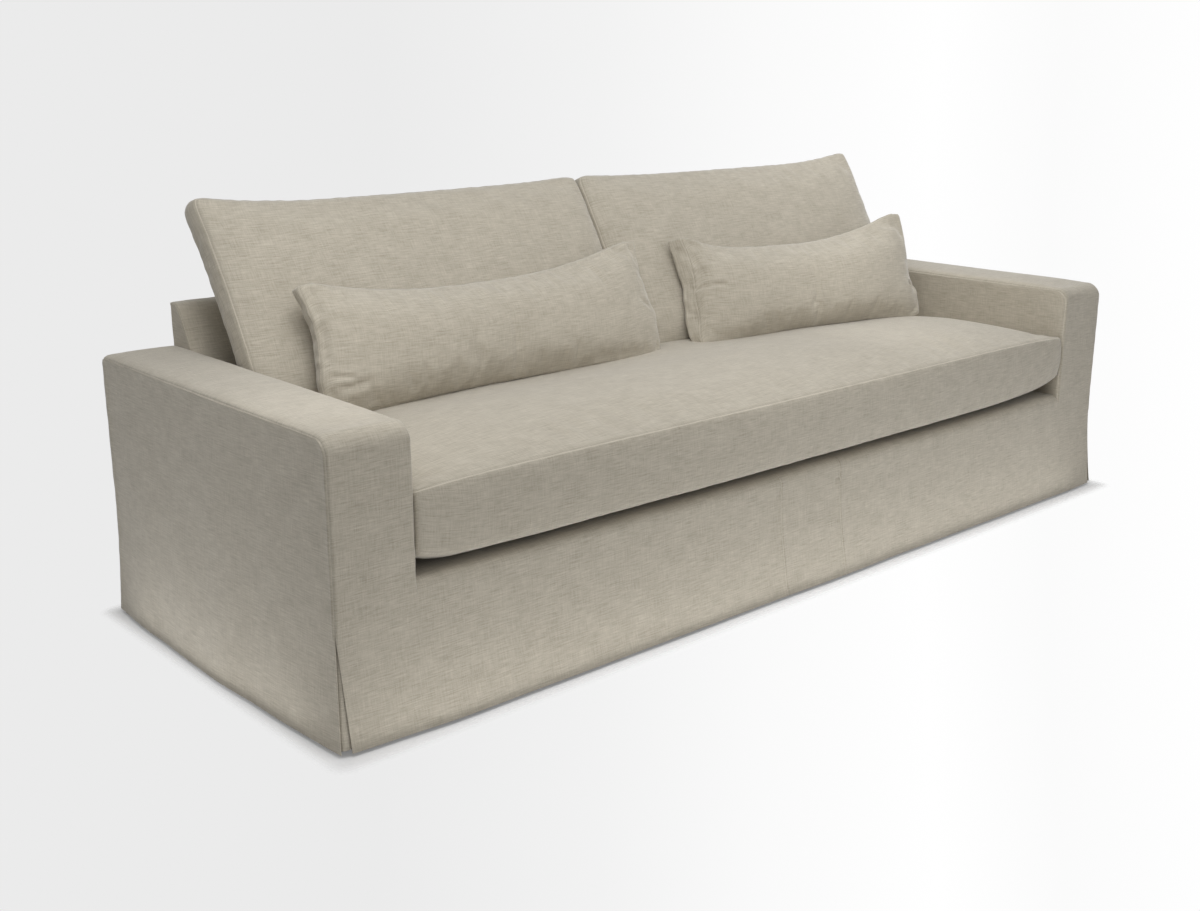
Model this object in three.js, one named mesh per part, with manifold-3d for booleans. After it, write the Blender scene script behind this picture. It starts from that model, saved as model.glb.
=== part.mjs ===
// A slipcovered sofa with track arms: one bench seat cushion, two loose back cushions that lean on a
// raked back, and two lumbar pillows. The cover hangs to the floor and hides a hardwood frame.
import * as THREE from 'three';
import { mergeVertices } from 'three/addons/utils/BufferGeometryUtils.js';
import Module from 'manifold-3d';

const wasm = await Module();
wasm.setup();

// Driving dimensions in millimetres. The maker's frame has X along the sofa from its middle,
// Y back from the front of the arms and Z up from the floor.
const sofaLength = 2604;
const sofaDepth = 952;
const armHeight = 610;
const armWidth = 182;
const backHeight = 709;
const backOverhang = 11; // the back's top is wider than the space between the arms
const backTopDepth = 40.56; // where the leaning inner back would meet the back's top
const leanHeight = 490; // where the inner back starts to lean
const backLean = THREE.MathUtils.degToRad(30);
const deckHeight = 300;
const railTop = 250;
const railBottom = 90;

// Cloth, padding and the gap between pieces that touch
const cloth = 2;
const fit = 0.3;
const armPad = 20;
const backPad = 14;
const overrun = 40; // how far a cutting block passes what it cuts
const weldDistance = 0.001;
const mitreLimit = 0.4; // the least cosine that an inset edge is mitred for

// The hanging cover
const hemHeight = 8;
const flareHeight = 300;
const frontFlare = 23;
const sideFlare = 12;
const hemWave = 2.5;
const hemWaves = 5;
const skirtShares = [0, 0.18, 0.38, 0.6, 0.8];
const deckEdgeRadius = 24;
const armFrontRoll = 36;
const armSideRoll = 16;
const armRearRoll = 10;
const armEdgeRadius = 8;
const armCrown = 6;
const armCrownShares = [[0.4, 0.65], [0.85, 1]];
const seamRadius = 1;
const backRoll = 35;
const coverTuck = 0.6; // the inner arm and deck panels end this far above the rails
const ventHeight = 233;
const ventGap = 21; // from the side panel to the front panel's edge at the hem
const ventDrop = 5; // from the front panel back to the side panel's edge at the hem
const ventLap = 70; // how far the underlap passes the corner
const underlapHem = 5; // the underlap's hem is this far above the outer hem

// The timber frame
const railThickness = 28;
const stretcherHeight = 110;
const springRailDepth = 15; // from the inner back's foot to the spring rail
const boardThickness = 20;
const boardEase = 1.2; // a board's edge keeps this from the rounded corner of the padding
const armTopDrop = 44; // from the arm's top to the tops of its upright boards
const postWidth = 40;
const postEndGap = 10;
const backBoardThickness = 6;
const backPostDrop = 62; // from the back's top to the tops of its posts
const legWidth = 60;
const glideRadius = 15;
const glideHeight = 8;
const dustCoverThickness = 1;
const dustCoverInset = 10;
const legNotch = 2;

// The seat springs
const springWire = 4;
const springPitch = 148;
const springHalfWave = 25;
const springBends = 11;
const springRise = 16;
const tieShares = [0.3, 0.7];

// The seat cushion
const seatSideGap = 3;
const seatRearGap = 9;
const seatSeamHeight = 484;
const seatCrown = 25;
const seatCrownEdge = 6;
const seatCrownFallShare = 0.22;
const seatArmDip = 26;
const seatCornerKeep = 0.6; // the share of that dip that the front corners are spared
const seatFrontRise = 24;
const seatCornerRise = 32;
const seatFrontBow = 12;
const seatFrontInset = 3;
const seatBoxBulge = 7;

// The back cushions, measured in their leaning plane
const leanBaseRise = 16; // from the seat's seam up to the level that leaning cushions stand on
const backCushionHeight = 489;
const backCushionMiddleGap = 8;
const backCushionSideGap = 3;
const backCushionGap = 11.9; // behind the fullest part of a cushion, which its yaw partly takes up
const backCushionYaw = THREE.MathUtils.degToRad(1.1);
const backCushionSink = 14;
const backSeamFront = 12;
const backSeamBow = 7;
const backBoxing = 86;
const backFrontCrown = 32;
const backRearCrown = 88;
const backOuterEar = 33;
const backInnerEar = 14;
const backEndDraw = 6;
const backBoxBulge = 5;

// The lumbar pillows, measured in their leaning plane. Each lies between a gap to its arm and a gap to
// the sofa's middle, and stands in front of the back cushions' own plane. Its yaw is in degrees.
const pillowLean = THREE.MathUtils.degToRad(22);
const pillowHeight = 303;
const pillowFront = 55;
const pillowRear = 10;
const pillowBoxing = 33;
const pillowBoxTaper = 0.5; // the share of the boxing's width that is lost by the pillow's foot
const pillowCornerCut = 6;
const pillowEndDraw = 14;
const pillowSink = 12;
const leftPillow = { way: -1, armGap: 110.5, middleGap: -15.5, inFront: 98, dip: 18, yaw: 2.4 };
const rightPillow = { way: 1, armGap: 154, middleGap: 138, inFront: 141, dip: 30, yaw: -9.5 };

// The zips
const zipTapeWidth = 24;
const zipChainWidth = 5;
const zipChainHeight = 2.2;
const zipGrooveWidth = 34;
const zipGrooveEnd = 14;
const zipSliderLength = 12;
const zipSliderWidth = 9;
const zipSliderHeight = 4;
const zipPullLength = 20;
const zipPullWidth = 6;
const zipPullThickness = 1.2;
const zipStop = 6; // from the tape's end to the slider at either limit
const seatZipLength = 1500;
const seatZipDepth = 9;
const backZipLength = 740;
const backZipRise = 140; // from the cushion's foot up its rear face
const backZipDepth = 10;
const pillowZipLength = 400;
const pillowZipRise = 78;
const pillowZipDepth = 7;
const pillowZipTilt = THREE.MathUtils.degToRad(3);

// Sizes worked out from those above
const halfLength = sofaLength / 2;
const innerHalf = halfLength - armWidth;
const deckHalf = innerHalf - 2 * fit;
const backFootDepth = backTopDepth + (backHeight - leanHeight) * Math.tan(backLean);
const backFoot = sofaDepth - backFootDepth;
const shellRear = sofaDepth - cloth - fit;
const armPadInset = cloth + fit;
const boardInset = armPadInset + armPad + fit;
const backPadInset = cloth + fit;
const backBoardInset = backPadInset + backPad + fit;
const postInset = backBoardInset + backBoardThickness + fit;
const padFoot = railTop + coverTuck;
const springTop = railTop + fit + springWire + springRise;
const springCount = Math.floor((2 * innerHalf) / springPitch);
const seatBottom = deckHeight + fit;
const seatHalf = innerHalf - seatSideGap;
const leanBase = seatSeamHeight + leanBaseRise;
const backCushionLength = innerHalf - backCushionMiddleGap / 2 - backCushionSideGap;
const seatRear = backFoot - seatRearGap;

// Materials, one for each finish
const finishes = {
  linen: new THREE.MeshStandardMaterial({ color: '#b4ac9c', roughness: 0.92, metalness: 0 }),
  hardwood: new THREE.MeshStandardMaterial({ color: '#c3a477', roughness: 0.65, metalness: 0 }),
  plywood: new THREE.MeshStandardMaterial({ color: '#d3b98f', roughness: 0.7, metalness: 0 }),
  foam: new THREE.MeshStandardMaterial({ color: '#e8e0c6', roughness: 0.95, metalness: 0 }),
  fibre: new THREE.MeshStandardMaterial({ color: '#efece6', roughness: 0.95, metalness: 0 }),
  springSteel: new THREE.MeshStandardMaterial({ color: '#77797c', roughness: 0.4, metalness: 0.9 }),
  nylon: new THREE.MeshStandardMaterial({ color: '#2f2e2c', roughness: 0.6, metalness: 0 }),
  blackCloth: new THREE.MeshStandardMaterial({ color: '#2b2a29', roughness: 0.95, metalness: 0 }),
  zipTape: new THREE.MeshStandardMaterial({ color: '#a79f8f', roughness: 0.85, metalness: 0 }),
  zinc: new THREE.MeshStandardMaterial({ color: '#a9a49a', roughness: 0.35, metalness: 0.9 }),
};

// A closed geometry as a solid, with the vertices that its faces share merged.
function solidOf(geometry) {
  const loose = geometry.index ? geometry.toNonIndexed() : geometry;
  const bare = new THREE.BufferGeometry();
  bare.setAttribute('position', loose.getAttribute('position'));
  const welded = mergeVertices(bare, weldDistance);
  return new wasm.Manifold(new wasm.Mesh({
    numProp: 3,
    vertProperties: welded.getAttribute('position').array,
    triVerts: new Uint32Array(welded.index.array),
  }));
}

function geometryOf(solid) {
  const mesh = solid.getMesh();
  const geometry = new THREE.BufferGeometry();
  geometry.setAttribute('position', new THREE.BufferAttribute(mesh.vertProperties, 3));
  geometry.setIndex(new THREE.BufferAttribute(mesh.triVerts, 1));
  geometry.computeVertexNormals();
  return geometry;
}

function cut(whole, ...tools) {
  const left = tools.reduce((solid, tool) => solid.subtract(solidOf(tool)), solidOf(whole));
  return geometryOf(left);
}

function join(first, ...others) {
  const joined = others.reduce((solid, other) => solid.add(solidOf(other)), solidOf(first));
  return geometryOf(joined);
}

function common(first, second) {
  return geometryOf(solidOf(first).intersect(solidOf(second)));
}

function block([x0, x1], [y0, y1], [z0, z1]) {
  const geometry = new THREE.BoxGeometry(x1 - x0, y1 - y0, z1 - z0);
  return geometry.translate((x0 + x1) / 2, (y0 + y1) / 2, (z0 + z1) / 2);
}

// An outline of [y, z] points, extruded along X.
function sideExtrusion(outline, [x0, x1]) {
  const shape = new THREE.Shape(outline.map(([y, z]) => new THREE.Vector2(y, z)));
  const geometry = new THREE.ExtrudeGeometry(shape, { depth: x1 - x0, bevelEnabled: false });
  const turn = new THREE.Matrix4().makeBasis(
    new THREE.Vector3(0, 1, 0),
    new THREE.Vector3(0, 0, 1),
    new THREE.Vector3(1, 0, 0),
  );
  return geometry.applyMatrix4(turn).translate(x0, 0, 0);
}

// A closed geometry from its corner points, three to a face.
function faceted(points) {
  const geometry = new THREE.BufferGeometry();
  const values = points.flatMap((point) => point.toArray());
  geometry.setAttribute('position', new THREE.Float32BufferAttribute(values, 3));
  return geometry;
}

const quad = (p, q, r, s) => [p, q, r, p, r, s];

// Stops from -1 to 1 that lie closer together near the ends.
function easedStops(count) {
  return Array.from({ length: count + 1 }, (_, i) => Math.sin((i / count - 0.5) * Math.PI));
}

function evenStops(count, from, to) {
  return Array.from({ length: count + 1 }, (_, i) => from + ((to - from) * i) / count);
}

// A closed form with two faces of a and b stops, at the first and last of the h stops, and a band of
// h stops round their edges. place(a, b, h) gives each point.
function padForm(aStops, bStops, hStops, place) {
  const points = [];
  const low = hStops[0];
  const high = hStops.at(-1);
  for (let i = 1; i < aStops.length; i++) {
    for (let j = 1; j < bStops.length; j++) {
      const corner = (da, db, h) => place(aStops[i - da], bStops[j - db], h);
      points.push(...quad(corner(1, 1, high), corner(0, 1, high), corner(0, 0, high), corner(1, 0, high)));
      points.push(...quad(corner(1, 1, low), corner(1, 0, low), corner(0, 0, low), corner(0, 1, low)));
    }
  }
  const loop = [
    ...aStops.map((a) => [a, bStops[0]]),
    ...bStops.slice(1).map((b) => [aStops.at(-1), b]),
    ...aStops.slice(0, -1).reverse().map((a) => [a, bStops.at(-1)]),
    ...bStops.slice(0, -1).reverse().map((b) => [aStops[0], b]),
  ];
  for (let i = 1; i < loop.length; i++) {
    for (let k = 1; k < hStops.length; k++) {
      const [p, q] = [loop[i - 1], loop[i]];
      const [h0, h1] = [hStops[k - 1], hStops[k]];
      points.push(...quad(place(...p, h0), place(...q, h0), place(...q, h1), place(...p, h1)));
    }
  }
  return faceted(points);
}

// A closed solid through a row of rings of points, with a flat cap on the first and the last.
function loft(rings) {
  const points = [];
  const count = rings[0].length;
  const centre = (ring) => ring.reduce((sum, p) => sum.add(p), new THREE.Vector3()).divideScalar(count);
  const [foot, head] = [centre(rings[0]), centre(rings.at(-1))];
  for (let j = 0; j < count; j++) {
    const next = (j + 1) % count;
    points.push(foot, rings[0][next], rings[0][j]);
    points.push(head, rings.at(-1)[j], rings.at(-1)[next]);
    for (let i = 1; i < rings.length; i++) {
      points.push(...quad(rings[i - 1][j], rings[i - 1][next], rings[i][next], rings[i][j]));
    }
  }
  return faceted(points);
}

// The same closed form with every face moved inwards by an inset, as far as its sharpest edges let it.
function shrunk(geometry, inset) {
  const welded = mergeVertices(geometry, weldDistance);
  const position = welded.getAttribute('position');
  const faces = Array.from({ length: position.count }, () => []);
  for (let i = 0; i < welded.index.count; i += 3) {
    const ids = [0, 1, 2].map((k) => welded.index.array[i + k]);
    const corners = ids.map((id) => new THREE.Vector3().fromBufferAttribute(position, id));
    const normal = new THREE.Triangle(...corners).getNormal(new THREE.Vector3());
    ids.forEach((id, k) => {
      const before = corners[(k + 2) % 3].clone().sub(corners[k]);
      const after = corners[(k + 1) % 3].clone().sub(corners[k]);
      faces[id].push({ normal, angle: before.angleTo(after) });
    });
  }
  faces.forEach((around, id) => {
    const way = new THREE.Vector3();
    for (const { normal, angle } of around) way.addScaledVector(normal, angle);
    way.normalize();
    const flattest = Math.min(...around.map(({ normal }) => normal.dot(way)));
    const moved = new THREE.Vector3().fromBufferAttribute(position, id);
    moved.addScaledVector(way, -inset / Math.max(flattest, mitreLimit));
    position.setXYZ(id, ...moved);
  });
  return welded;
}

const sofa = new THREE.Group();

function addPiece(group, name, geometry, finish) {
  const mesh = new THREE.Mesh(geometry, finish);
  mesh.name = name;
  group.add(mesh);
  return mesh;
}

// Left and right pieces are drawn once, on the left, and the right ones are mirrored by their group.
const sides = ['left', 'right'].map((name) => {
  const group = new THREE.Group();
  group.scale.x = name === 'left' ? 1 : -1;
  sofa.add(group);
  return { name, group };
});

// How far the hanging cover stands out at a height, from nothing at the flare's top.
function flareAt(z, flare) {
  const share = Math.max(0, flareHeight - z) / (flareHeight - hemHeight);
  return flare * share ** 2;
}

// The distance that a rounded edge falls back at a height near its top.
function rollAt(z, top, radius) {
  const rise = Math.max(0, z - (top - radius));
  return radius - Math.sqrt(Math.max(0, radius ** 2 - rise ** 2));
}

// A level ring of points round a rectangle, with its own radius on each corner.
function levelRing([x0, x1], [y0, y1], radii, z) {
  const corners = [[x0, y0, 1, 1], [x1, y0, -1, 1], [x1, y1, -1, -1], [x0, y1, 1, -1]];
  const steps = 3;
  return corners.flatMap(([x, y, inX, inY], corner) => {
    const radius = radii[corner];
    return evenStops(steps, 0, Math.PI / 2).map((turn) => {
      const angle = Math.PI + (corner * Math.PI) / 2 + turn;
      const [across, along] = [Math.cos(angle), Math.sin(angle)];
      return new THREE.Vector3(x + radius * (inX + across), y + radius * (inY + along), z);
    });
  });
}

// The left arm's outer form, moved inwards by an inset, from a foot height to its crowned top.
function armForm(inset, foot, rear) {
  const top = armHeight - inset;
  const frontRoll = Math.max(armFrontRoll - inset, seamRadius);
  const sideRoll = Math.max(armSideRoll - inset, seamRadius);
  const edge = Math.max(armEdgeRadius - inset, seamRadius);
  const ring = (z, frontIn, sideIn, rearIn) => {
    const innerEdge = z < deckHeight ? seamRadius : edge;
    return levelRing(
      [-halfLength - flareAt(z, sideFlare) + inset + sideIn, -innerHalf - inset - sideIn],
      [-flareAt(z, frontFlare) + inset + frontIn, rear - rearIn],
      [edge, innerEdge, seamRadius, seamRadius],
      z,
    );
  };
  const skirt = skirtShares.map((share) => ring(foot + (flareHeight - foot) * share, 0, 0, 0));
  const deckLevel = [ring(deckHeight - fit, 0, 0, 0), ring(deckHeight + armEdgeRadius, 0, 0, 0)];
  const roll = [0, 20, 40, 55, 68, 80, 90].map((degrees) => {
    const z = top - frontRoll + frontRoll * Math.sin(THREE.MathUtils.degToRad(degrees));
    return ring(z, rollAt(z, top, frontRoll), rollAt(z, top, sideRoll), rollAt(z, top, armRearRoll));
  });
  const half = armWidth / 2 - inset;
  const crown = armCrownShares.map(([inShare, riseShare]) => {
    const sideIn = sideRoll + (half - sideRoll) * inShare;
    return ring(top + armCrown * riseShare, frontRoll + sideIn, sideIn, armRearRoll + sideIn / 4);
  });
  return loft([...skirt, ...deckLevel, ...roll, ...crown]);
}

// The slit at the front corner that lets the skirt swing: a wedge that opens towards the hem.
function ventWedge() {
  const [farX, farY] = [-halfLength - sideFlare - overrun, -frontFlare - overrun];
  const ring = (z) => {
    const share = (ventHeight - z) / (ventHeight - hemHeight);
    const right = -halfLength - flareAt(z, sideFlare) + ventGap * share - fit;
    const behind = -flareAt(z, frontFlare) + cloth + ventDrop * share;
    const corners = [[farX, farY], [right, farY], [right, behind], [farX, behind]];
    return corners.map(([x, y]) => new THREE.Vector3(x, y, z));
  };
  return loft(evenStops(5, hemHeight - fit, ventHeight).map(ring));
}

// The arm's cover is open below and behind, and on its inner face below the deck.
function addArmCover({ name, group }) {
  const foot = hemHeight - overrun;
  const rearOpening = common(
    armForm(cloth, foot, shellRear + overrun),
    block([-halfLength - overrun, 0], [backFoot, sofaDepth + overrun],
      [foot, armHeight - armRearRoll - cloth]),
  );
  const shell = cut(
    armForm(0, hemHeight, shellRear),
    armForm(cloth, foot, shellRear - cloth),
    rearOpening,
    block([-innerHalf - cloth - fit, 0], [cloth + fit, sofaDepth + overrun], [foot, padFoot]),
    ventWedge(),
  );
  addPiece(group, `arm_cover_${name}`, shell, finishes.linen);
}

// The cloth behind the vent, sewn inside the cover and bent round the corner.
function addVentUnderlap({ name, group }) {
  const inset = cloth + 2 * fit;
  const path = [
    ({ side, front }) => [side, front + ventLap],
    ({ side, front }) => [side, front + armEdgeRadius],
    ({ side, front }) => [side + armEdgeRadius / 3, front + armEdgeRadius / 3],
    ({ side, front }) => [side + armEdgeRadius, front],
    ({ side, front }) => [side + ventLap, front],
  ];
  const place = (step, z, h) => {
    const deep = inset + (h < 0 ? cloth : 0);
    const side = -halfLength - flareAt(z, sideFlare) + deep;
    const front = -flareAt(z, frontFlare) + deep;
    const [x, y] = path[step]({ side, front });
    return new THREE.Vector3(x, y, z);
  };
  const levels = evenStops(3, hemHeight + underlapHem, railTop - coverTuck);
  const sheet = padForm([0, 1, 2, 3, 4], levels, [-1, 1], place);
  addPiece(group, `vent_underlap_${name}`, sheet, finishes.linen);
}

// Foam over the arm's top, front and both faces, open below and behind.
function addArmPadding({ name, group }) {
  const tub = cut(
    armForm(armPadInset, padFoot, shellRear - armPadInset),
    armForm(armPadInset + armPad, padFoot - overrun, shellRear + overrun),
  );
  addPiece(group, `arm_padding_${name}`, tub, finishes.foam);
}

function addArmBoards({ name, group }) {
  const across = [-halfLength + boardInset + boardEase, -innerHalf - boardInset - boardEase];
  const boardTop = armHeight - armTopDrop;
  const uprightZ = [railTop + fit, boardTop];
  const topZ = [boardTop + fit, boardTop + fit + boardThickness];
  const front = block(across, [boardInset, boardInset + boardThickness], uprightZ);
  const rear = block(across, [shellRear - fit - boardThickness, shellRear - fit], uprightZ);
  const top = block(across, [armFrontRoll + fit, shellRear - fit], topZ);
  addPiece(group, `arm_front_board_${name}`, front, finishes.plywood);
  addPiece(group, `arm_rear_board_${name}`, rear, finishes.plywood);
  addPiece(group, `arm_top_board_${name}`, top, finishes.hardwood);
}

// The deck cloth and the front skirt are one panel that rolls over the deck's front edge.
function deckProfile(inset) {
  const radius = deckEdgeRadius - inset;
  const front = skirtShares.map((share) => hemHeight + (deckHeight - deckEdgeRadius - hemHeight) * share);
  const drop = front.map((z) => [inset - flareAt(z, frontFlare), z]);
  const roll = evenStops(4, 0, Math.PI / 2).map((turn) => [
    deckEdgeRadius - radius * Math.cos(turn),
    deckHeight - deckEdgeRadius + radius * Math.sin(turn),
  ]);
  return [...drop, ...roll, [backFoot - 2 * fit, deckHeight - inset]];
}

function addDeckCover() {
  const [face, back] = [deckProfile(0), deckProfile(cloth)];
  const steps = face.map((_, step) => step);
  const place = (x, step, h) => {
    const [y, z] = h > 0 ? face[step] : back[step];
    const wave = Math.cos((x / deckHalf) * hemWaves * Math.PI) * flareAt(z, hemWave);
    return new THREE.Vector3(x, y + hemWave * (flareAt(z, 1)) - wave, z);
  };
  const panel = padForm(evenStops(hemWaves * 4, -deckHalf, deckHalf), steps, [-1, 1], place);
  addPiece(sofa, 'deck_cover', panel, finishes.linen);
}

// Felt and foam over the springs, with a soft roll on the front rail's edge.
function addDeckPadding() {
  const inset = cloth + fit;
  const radius = deckEdgeRadius - inset;
  const rollCentre = deckHeight - deckEdgeRadius;
  const arc = evenStops(4, 0, Math.PI / 2).map((turn) => [
    deckEdgeRadius - radius * Math.cos(turn),
    rollCentre + radius * Math.sin(turn),
  ]);
  const rear = backFoot - 2 * fit;
  const springs = springTop + fit;
  const rollBack = boardInset + railThickness / 4;
  const outline = [
    [inset, padFoot],
    [rollBack, padFoot],
    [rollBack, springs],
    [rear, springs],
    [rear, deckHeight - inset],
    ...arc.reverse(),
  ];
  addPiece(sofa, 'deck_padding', sideExtrusion(outline, [-deckHalf, deckHalf]), finishes.foam);
}

// The raked front line of the back at an inset, from a foot height to a head height.
function rakedLine(inset, foot, head) {
  const bend = leanHeight - inset * Math.tan(backLean / 2);
  return [
    [backFoot + inset, foot],
    [backFoot + inset, bend],
    [backFoot + inset + (head - bend) * Math.tan(backLean), head],
  ];
}

// The back's side outline at an inset, rounded over its top front edge.
function backOutline(inset, foot, rear) {
  const radius = backRoll - inset;
  const centreZ = backHeight - backRoll;
  const centreY = backFoot + (Math.sin(backLean) * (centreZ - leanHeight) + backRoll) / Math.cos(backLean);
  const bend = rakedLine(inset, foot, backHeight)[1];
  const roll = evenStops(5, backLean, Math.PI / 2).map((turn) => [
    centreY - radius * Math.cos(turn),
    centreZ + radius * Math.sin(turn),
  ]);
  return [[rear, foot], [rear, backHeight - inset], ...roll.reverse(), bend, [backFoot + inset, foot]];
}

// The back's form at an inset: it fits between the arms below their tops and laps over them above.
function backForm(inset, foot, rear) {
  const wide = innerHalf + backOverhang - inset;
  const narrow = deckHalf - inset;
  const whole = sideExtrusion(backOutline(inset, foot, rear).reverse(), [-wide, wide]);
  const lapZ = [foot - overrun, armHeight + armCrown + cloth + inset];
  const lapY = [backFoot - overrun, rear + overrun];
  return cut(
    whole,
    block([-wide - overrun, -narrow], lapY, lapZ),
    block([narrow, wide + overrun], lapY, lapZ),
  );
}

function addInnerBackCover() {
  const foot = springTop + fit;
  const shell = cut(
    backForm(0, foot, shellRear),
    backForm(cloth, foot - overrun, shellRear + overrun),
  );
  addPiece(sofa, 'inner_back_cover', shell, finishes.linen);
}

function addBackPadding() {
  const foot = springTop + fit;
  const pad = cut(
    backForm(backPadInset, foot, shellRear - fit),
    backForm(backPadInset + backPad, foot - overrun, shellRear + overrun),
  );
  addPiece(sofa, 'back_padding', pad, finishes.foam);
}

// The outside back is one flat panel, as wide as the sofa below the arm tops.
function addOuterBackCover() {
  const shoulder = armHeight - armRearRoll;
  const wide = innerHalf + backOverhang;
  const outline = [
    [-halfLength, hemHeight], [halfLength, hemHeight], [halfLength, shoulder], [wide, shoulder],
    [wide, backHeight], [-wide, backHeight], [-wide, shoulder], [-halfLength, shoulder],
  ];
  const shape = new THREE.Shape(outline.map(([x, z]) => new THREE.Vector2(x, z)));
  const panel = new THREE.ExtrudeGeometry(shape, { depth: cloth, bevelEnabled: false });
  const mesh = addPiece(sofa, 'outer_back_cover', panel, finishes.linen);
  mesh.position.y = sofaDepth;
  mesh.rotation.x = Math.PI / 2;
}

function addBackFrame() {
  const frameRear = shellRear - fit;
  const postTop = backHeight - backPostDrop;
  const postHalf = deckHalf - backPadInset - backPad - postEndGap;
  const boardFoot = springTop + fit;
  const post = (x) => sideExtrusion(
    [...rakedLine(postInset, railTop + fit, postTop).reverse(), [frameRear, railTop + fit],
      [frameRear, postTop]],
    x,
  );
  for (const { name, group } of sides) {
    addPiece(group, `back_post_${name}`, post([-postHalf, -postHalf + postWidth]), finishes.hardwood);
  }
  const board = sideExtrusion(
    [...rakedLine(backBoardInset, boardFoot, postTop).reverse(),
      ...rakedLine(backBoardInset + backBoardThickness, boardFoot, postTop)],
    [-postHalf, postHalf],
  );
  addPiece(sofa, 'back_board', board, finishes.plywood);
  const topRail = common(
    backForm(backBoardInset, railTop, frameRear),
    block([-postHalf, postHalf], [backFoot, frameRear], [postTop + fit, backHeight]),
  );
  addPiece(sofa, 'back_top_rail', topRail, finishes.hardwood);
}

// The base: rails on edge, a spring rail under the inner back and a stretcher in the middle.
const railHalf = halfLength - boardInset;
const railFront = boardInset;
const railRear = shellRear - fit;
const springRailFront = backFoot + springRailDepth;
const stretcherTop = railBottom + stretcherHeight;

function addBase() {
  const tall = [railBottom, railTop];
  const endY = [railFront + railThickness + fit, railRear - railThickness - fit];
  const endInner = -railHalf + railThickness;
  const springRailHalf = railHalf - railThickness - fit;
  addPiece(sofa, 'front_rail',
    block([-railHalf, railHalf], [railFront, railFront + railThickness], tall), finishes.hardwood);
  addPiece(sofa, 'rear_rail',
    block([-railHalf, railHalf], [railRear - railThickness, railRear], tall), finishes.hardwood);
  for (const { name, group } of sides) {
    addPiece(group, `end_rail_${name}`, block([-railHalf, endInner], endY, tall), finishes.hardwood);
  }
  addPiece(sofa, 'spring_rail',
    block([-springRailHalf, springRailHalf], [springRailFront, springRailFront + railThickness],
      [stretcherTop + fit, railTop]), finishes.hardwood);
  addPiece(sofa, 'centre_stretcher',
    block([-railThickness / 2, railThickness / 2], endY, [railBottom, stretcherTop]), finishes.hardwood);
}

// Square legs under the corners and the stretcher, each on a round glide that meets the floor.
const legPlaces = [
  { name: 'front', x: -railHalf + legWidth / 2, y: railFront + legWidth / 2 },
  { name: 'rear', x: -railHalf + legWidth / 2, y: railRear - legWidth / 2 },
];

function addLeg(group, name, x, y) {
  const half = legWidth / 2;
  const leg = block([x - half, x + half], [y - half, y + half], [glideHeight + fit, railBottom - fit]);
  addPiece(group, `leg_${name}`, leg, finishes.hardwood);
  const glide = new THREE.CylinderGeometry(glideRadius, glideRadius, glideHeight, 20);
  glide.rotateX(Math.PI / 2);
  const mesh = addPiece(group, `glide_${name}`, glide, finishes.nylon);
  mesh.position.set(x, y, glideHeight / 2);
}

function addLegs() {
  for (const { name, group } of sides) {
    for (const place of legPlaces) addLeg(group, `${place.name}_${name}`, place.x, place.y);
  }
  addLeg(sofa, 'centre', 0, (railFront + railRear) / 2);
}

// Black cloth stapled under the rails, cut away round the legs.
function addDustCover() {
  const half = legWidth / 2 + legNotch;
  const z = [railBottom - fit - dustCoverThickness, railBottom - fit];
  const notch = (x, y) => block([x - half, x + half], [y - half, y + half], [0, railBottom + overrun]);
  const corners = legPlaces.flatMap(({ x, y }) => [notch(x, y), notch(-x, y)]);
  const sheet = block(
    [-railHalf + dustCoverInset, railHalf - dustCoverInset],
    [railFront + dustCoverInset, railRear - dustCoverInset],
    z,
  );
  const middle = notch(0, (railFront + railRear) / 2);
  addPiece(sofa, 'dust_cover', cut(sheet, ...corners, middle), finishes.blackCloth);
}

// Arched zigzag springs from the front rail to the spring rail, tied to each other by two wires.
function addSprings() {
  const radius = springWire / 2;
  const startY = railFront + railThickness / 2;
  const endY = springRailFront + railThickness / 2;
  const heightAt = (share) => railTop + fit + radius + springRise * Math.sin(Math.PI * share);
  const spring = (middle) => {
    const line = Array.from({ length: springBends + 2 }, (_, i) => {
      const share = i / (springBends + 1);
      const end = i === 0 || i === springBends + 1;
      const x = middle + (end ? 0 : springHalfWave * (i % 2 ? 1 : -1));
      return new THREE.Vector3(x, startY + (endY - startY) * share, heightAt(share));
    });
    return loft(line.map((point, i) => {
      const way = line[Math.min(i + 1, line.length - 1)].clone().sub(line[Math.max(i - 1, 0)]);
      const across = new THREE.Vector3(way.y, -way.x, 0).setLength(radius);
      const up = new THREE.Vector3(0, 0, radius);
      return [up, across, up.clone().negate(), across.clone().negate()].map((off) => off.add(point));
    }));
  };
  const firstX = (-springPitch * (springCount - 1)) / 2;
  const springs = Array.from({ length: springCount }, (_, i) => spring(firstX + i * springPitch));
  const tieHalf = -firstX + springHalfWave;
  const ties = tieShares.map((share) => {
    const [y, z] = [startY + (endY - startY) * share, heightAt(share)];
    return block([-tieHalf, tieHalf], [y - radius, y + radius], [z - radius, z + radius / 2]);
  });
  addPiece(sofa, 'seat_springs', join(...springs, ...ties), finishes.springSteel);
}

// A zip's parts are drawn in its own frame: X along it, Z out of the cushion, zero on the tape's face.
function zipGroove(zip, inset) {
  const half = zip.length / 2 + zipGrooveEnd + inset;
  const side = zipGrooveWidth / 2 + inset;
  return block([-half, half], [-side, side], [-inset, overrun]).applyMatrix4(zip.frame);
}

function zipSlot(zip) {
  const [half, side] = [zip.length / 2 + fit, zipTapeWidth / 2 + fit];
  return block([-half, half], [-side, side], [-overrun / 2, overrun]).applyMatrix4(zip.frame);
}

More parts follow.
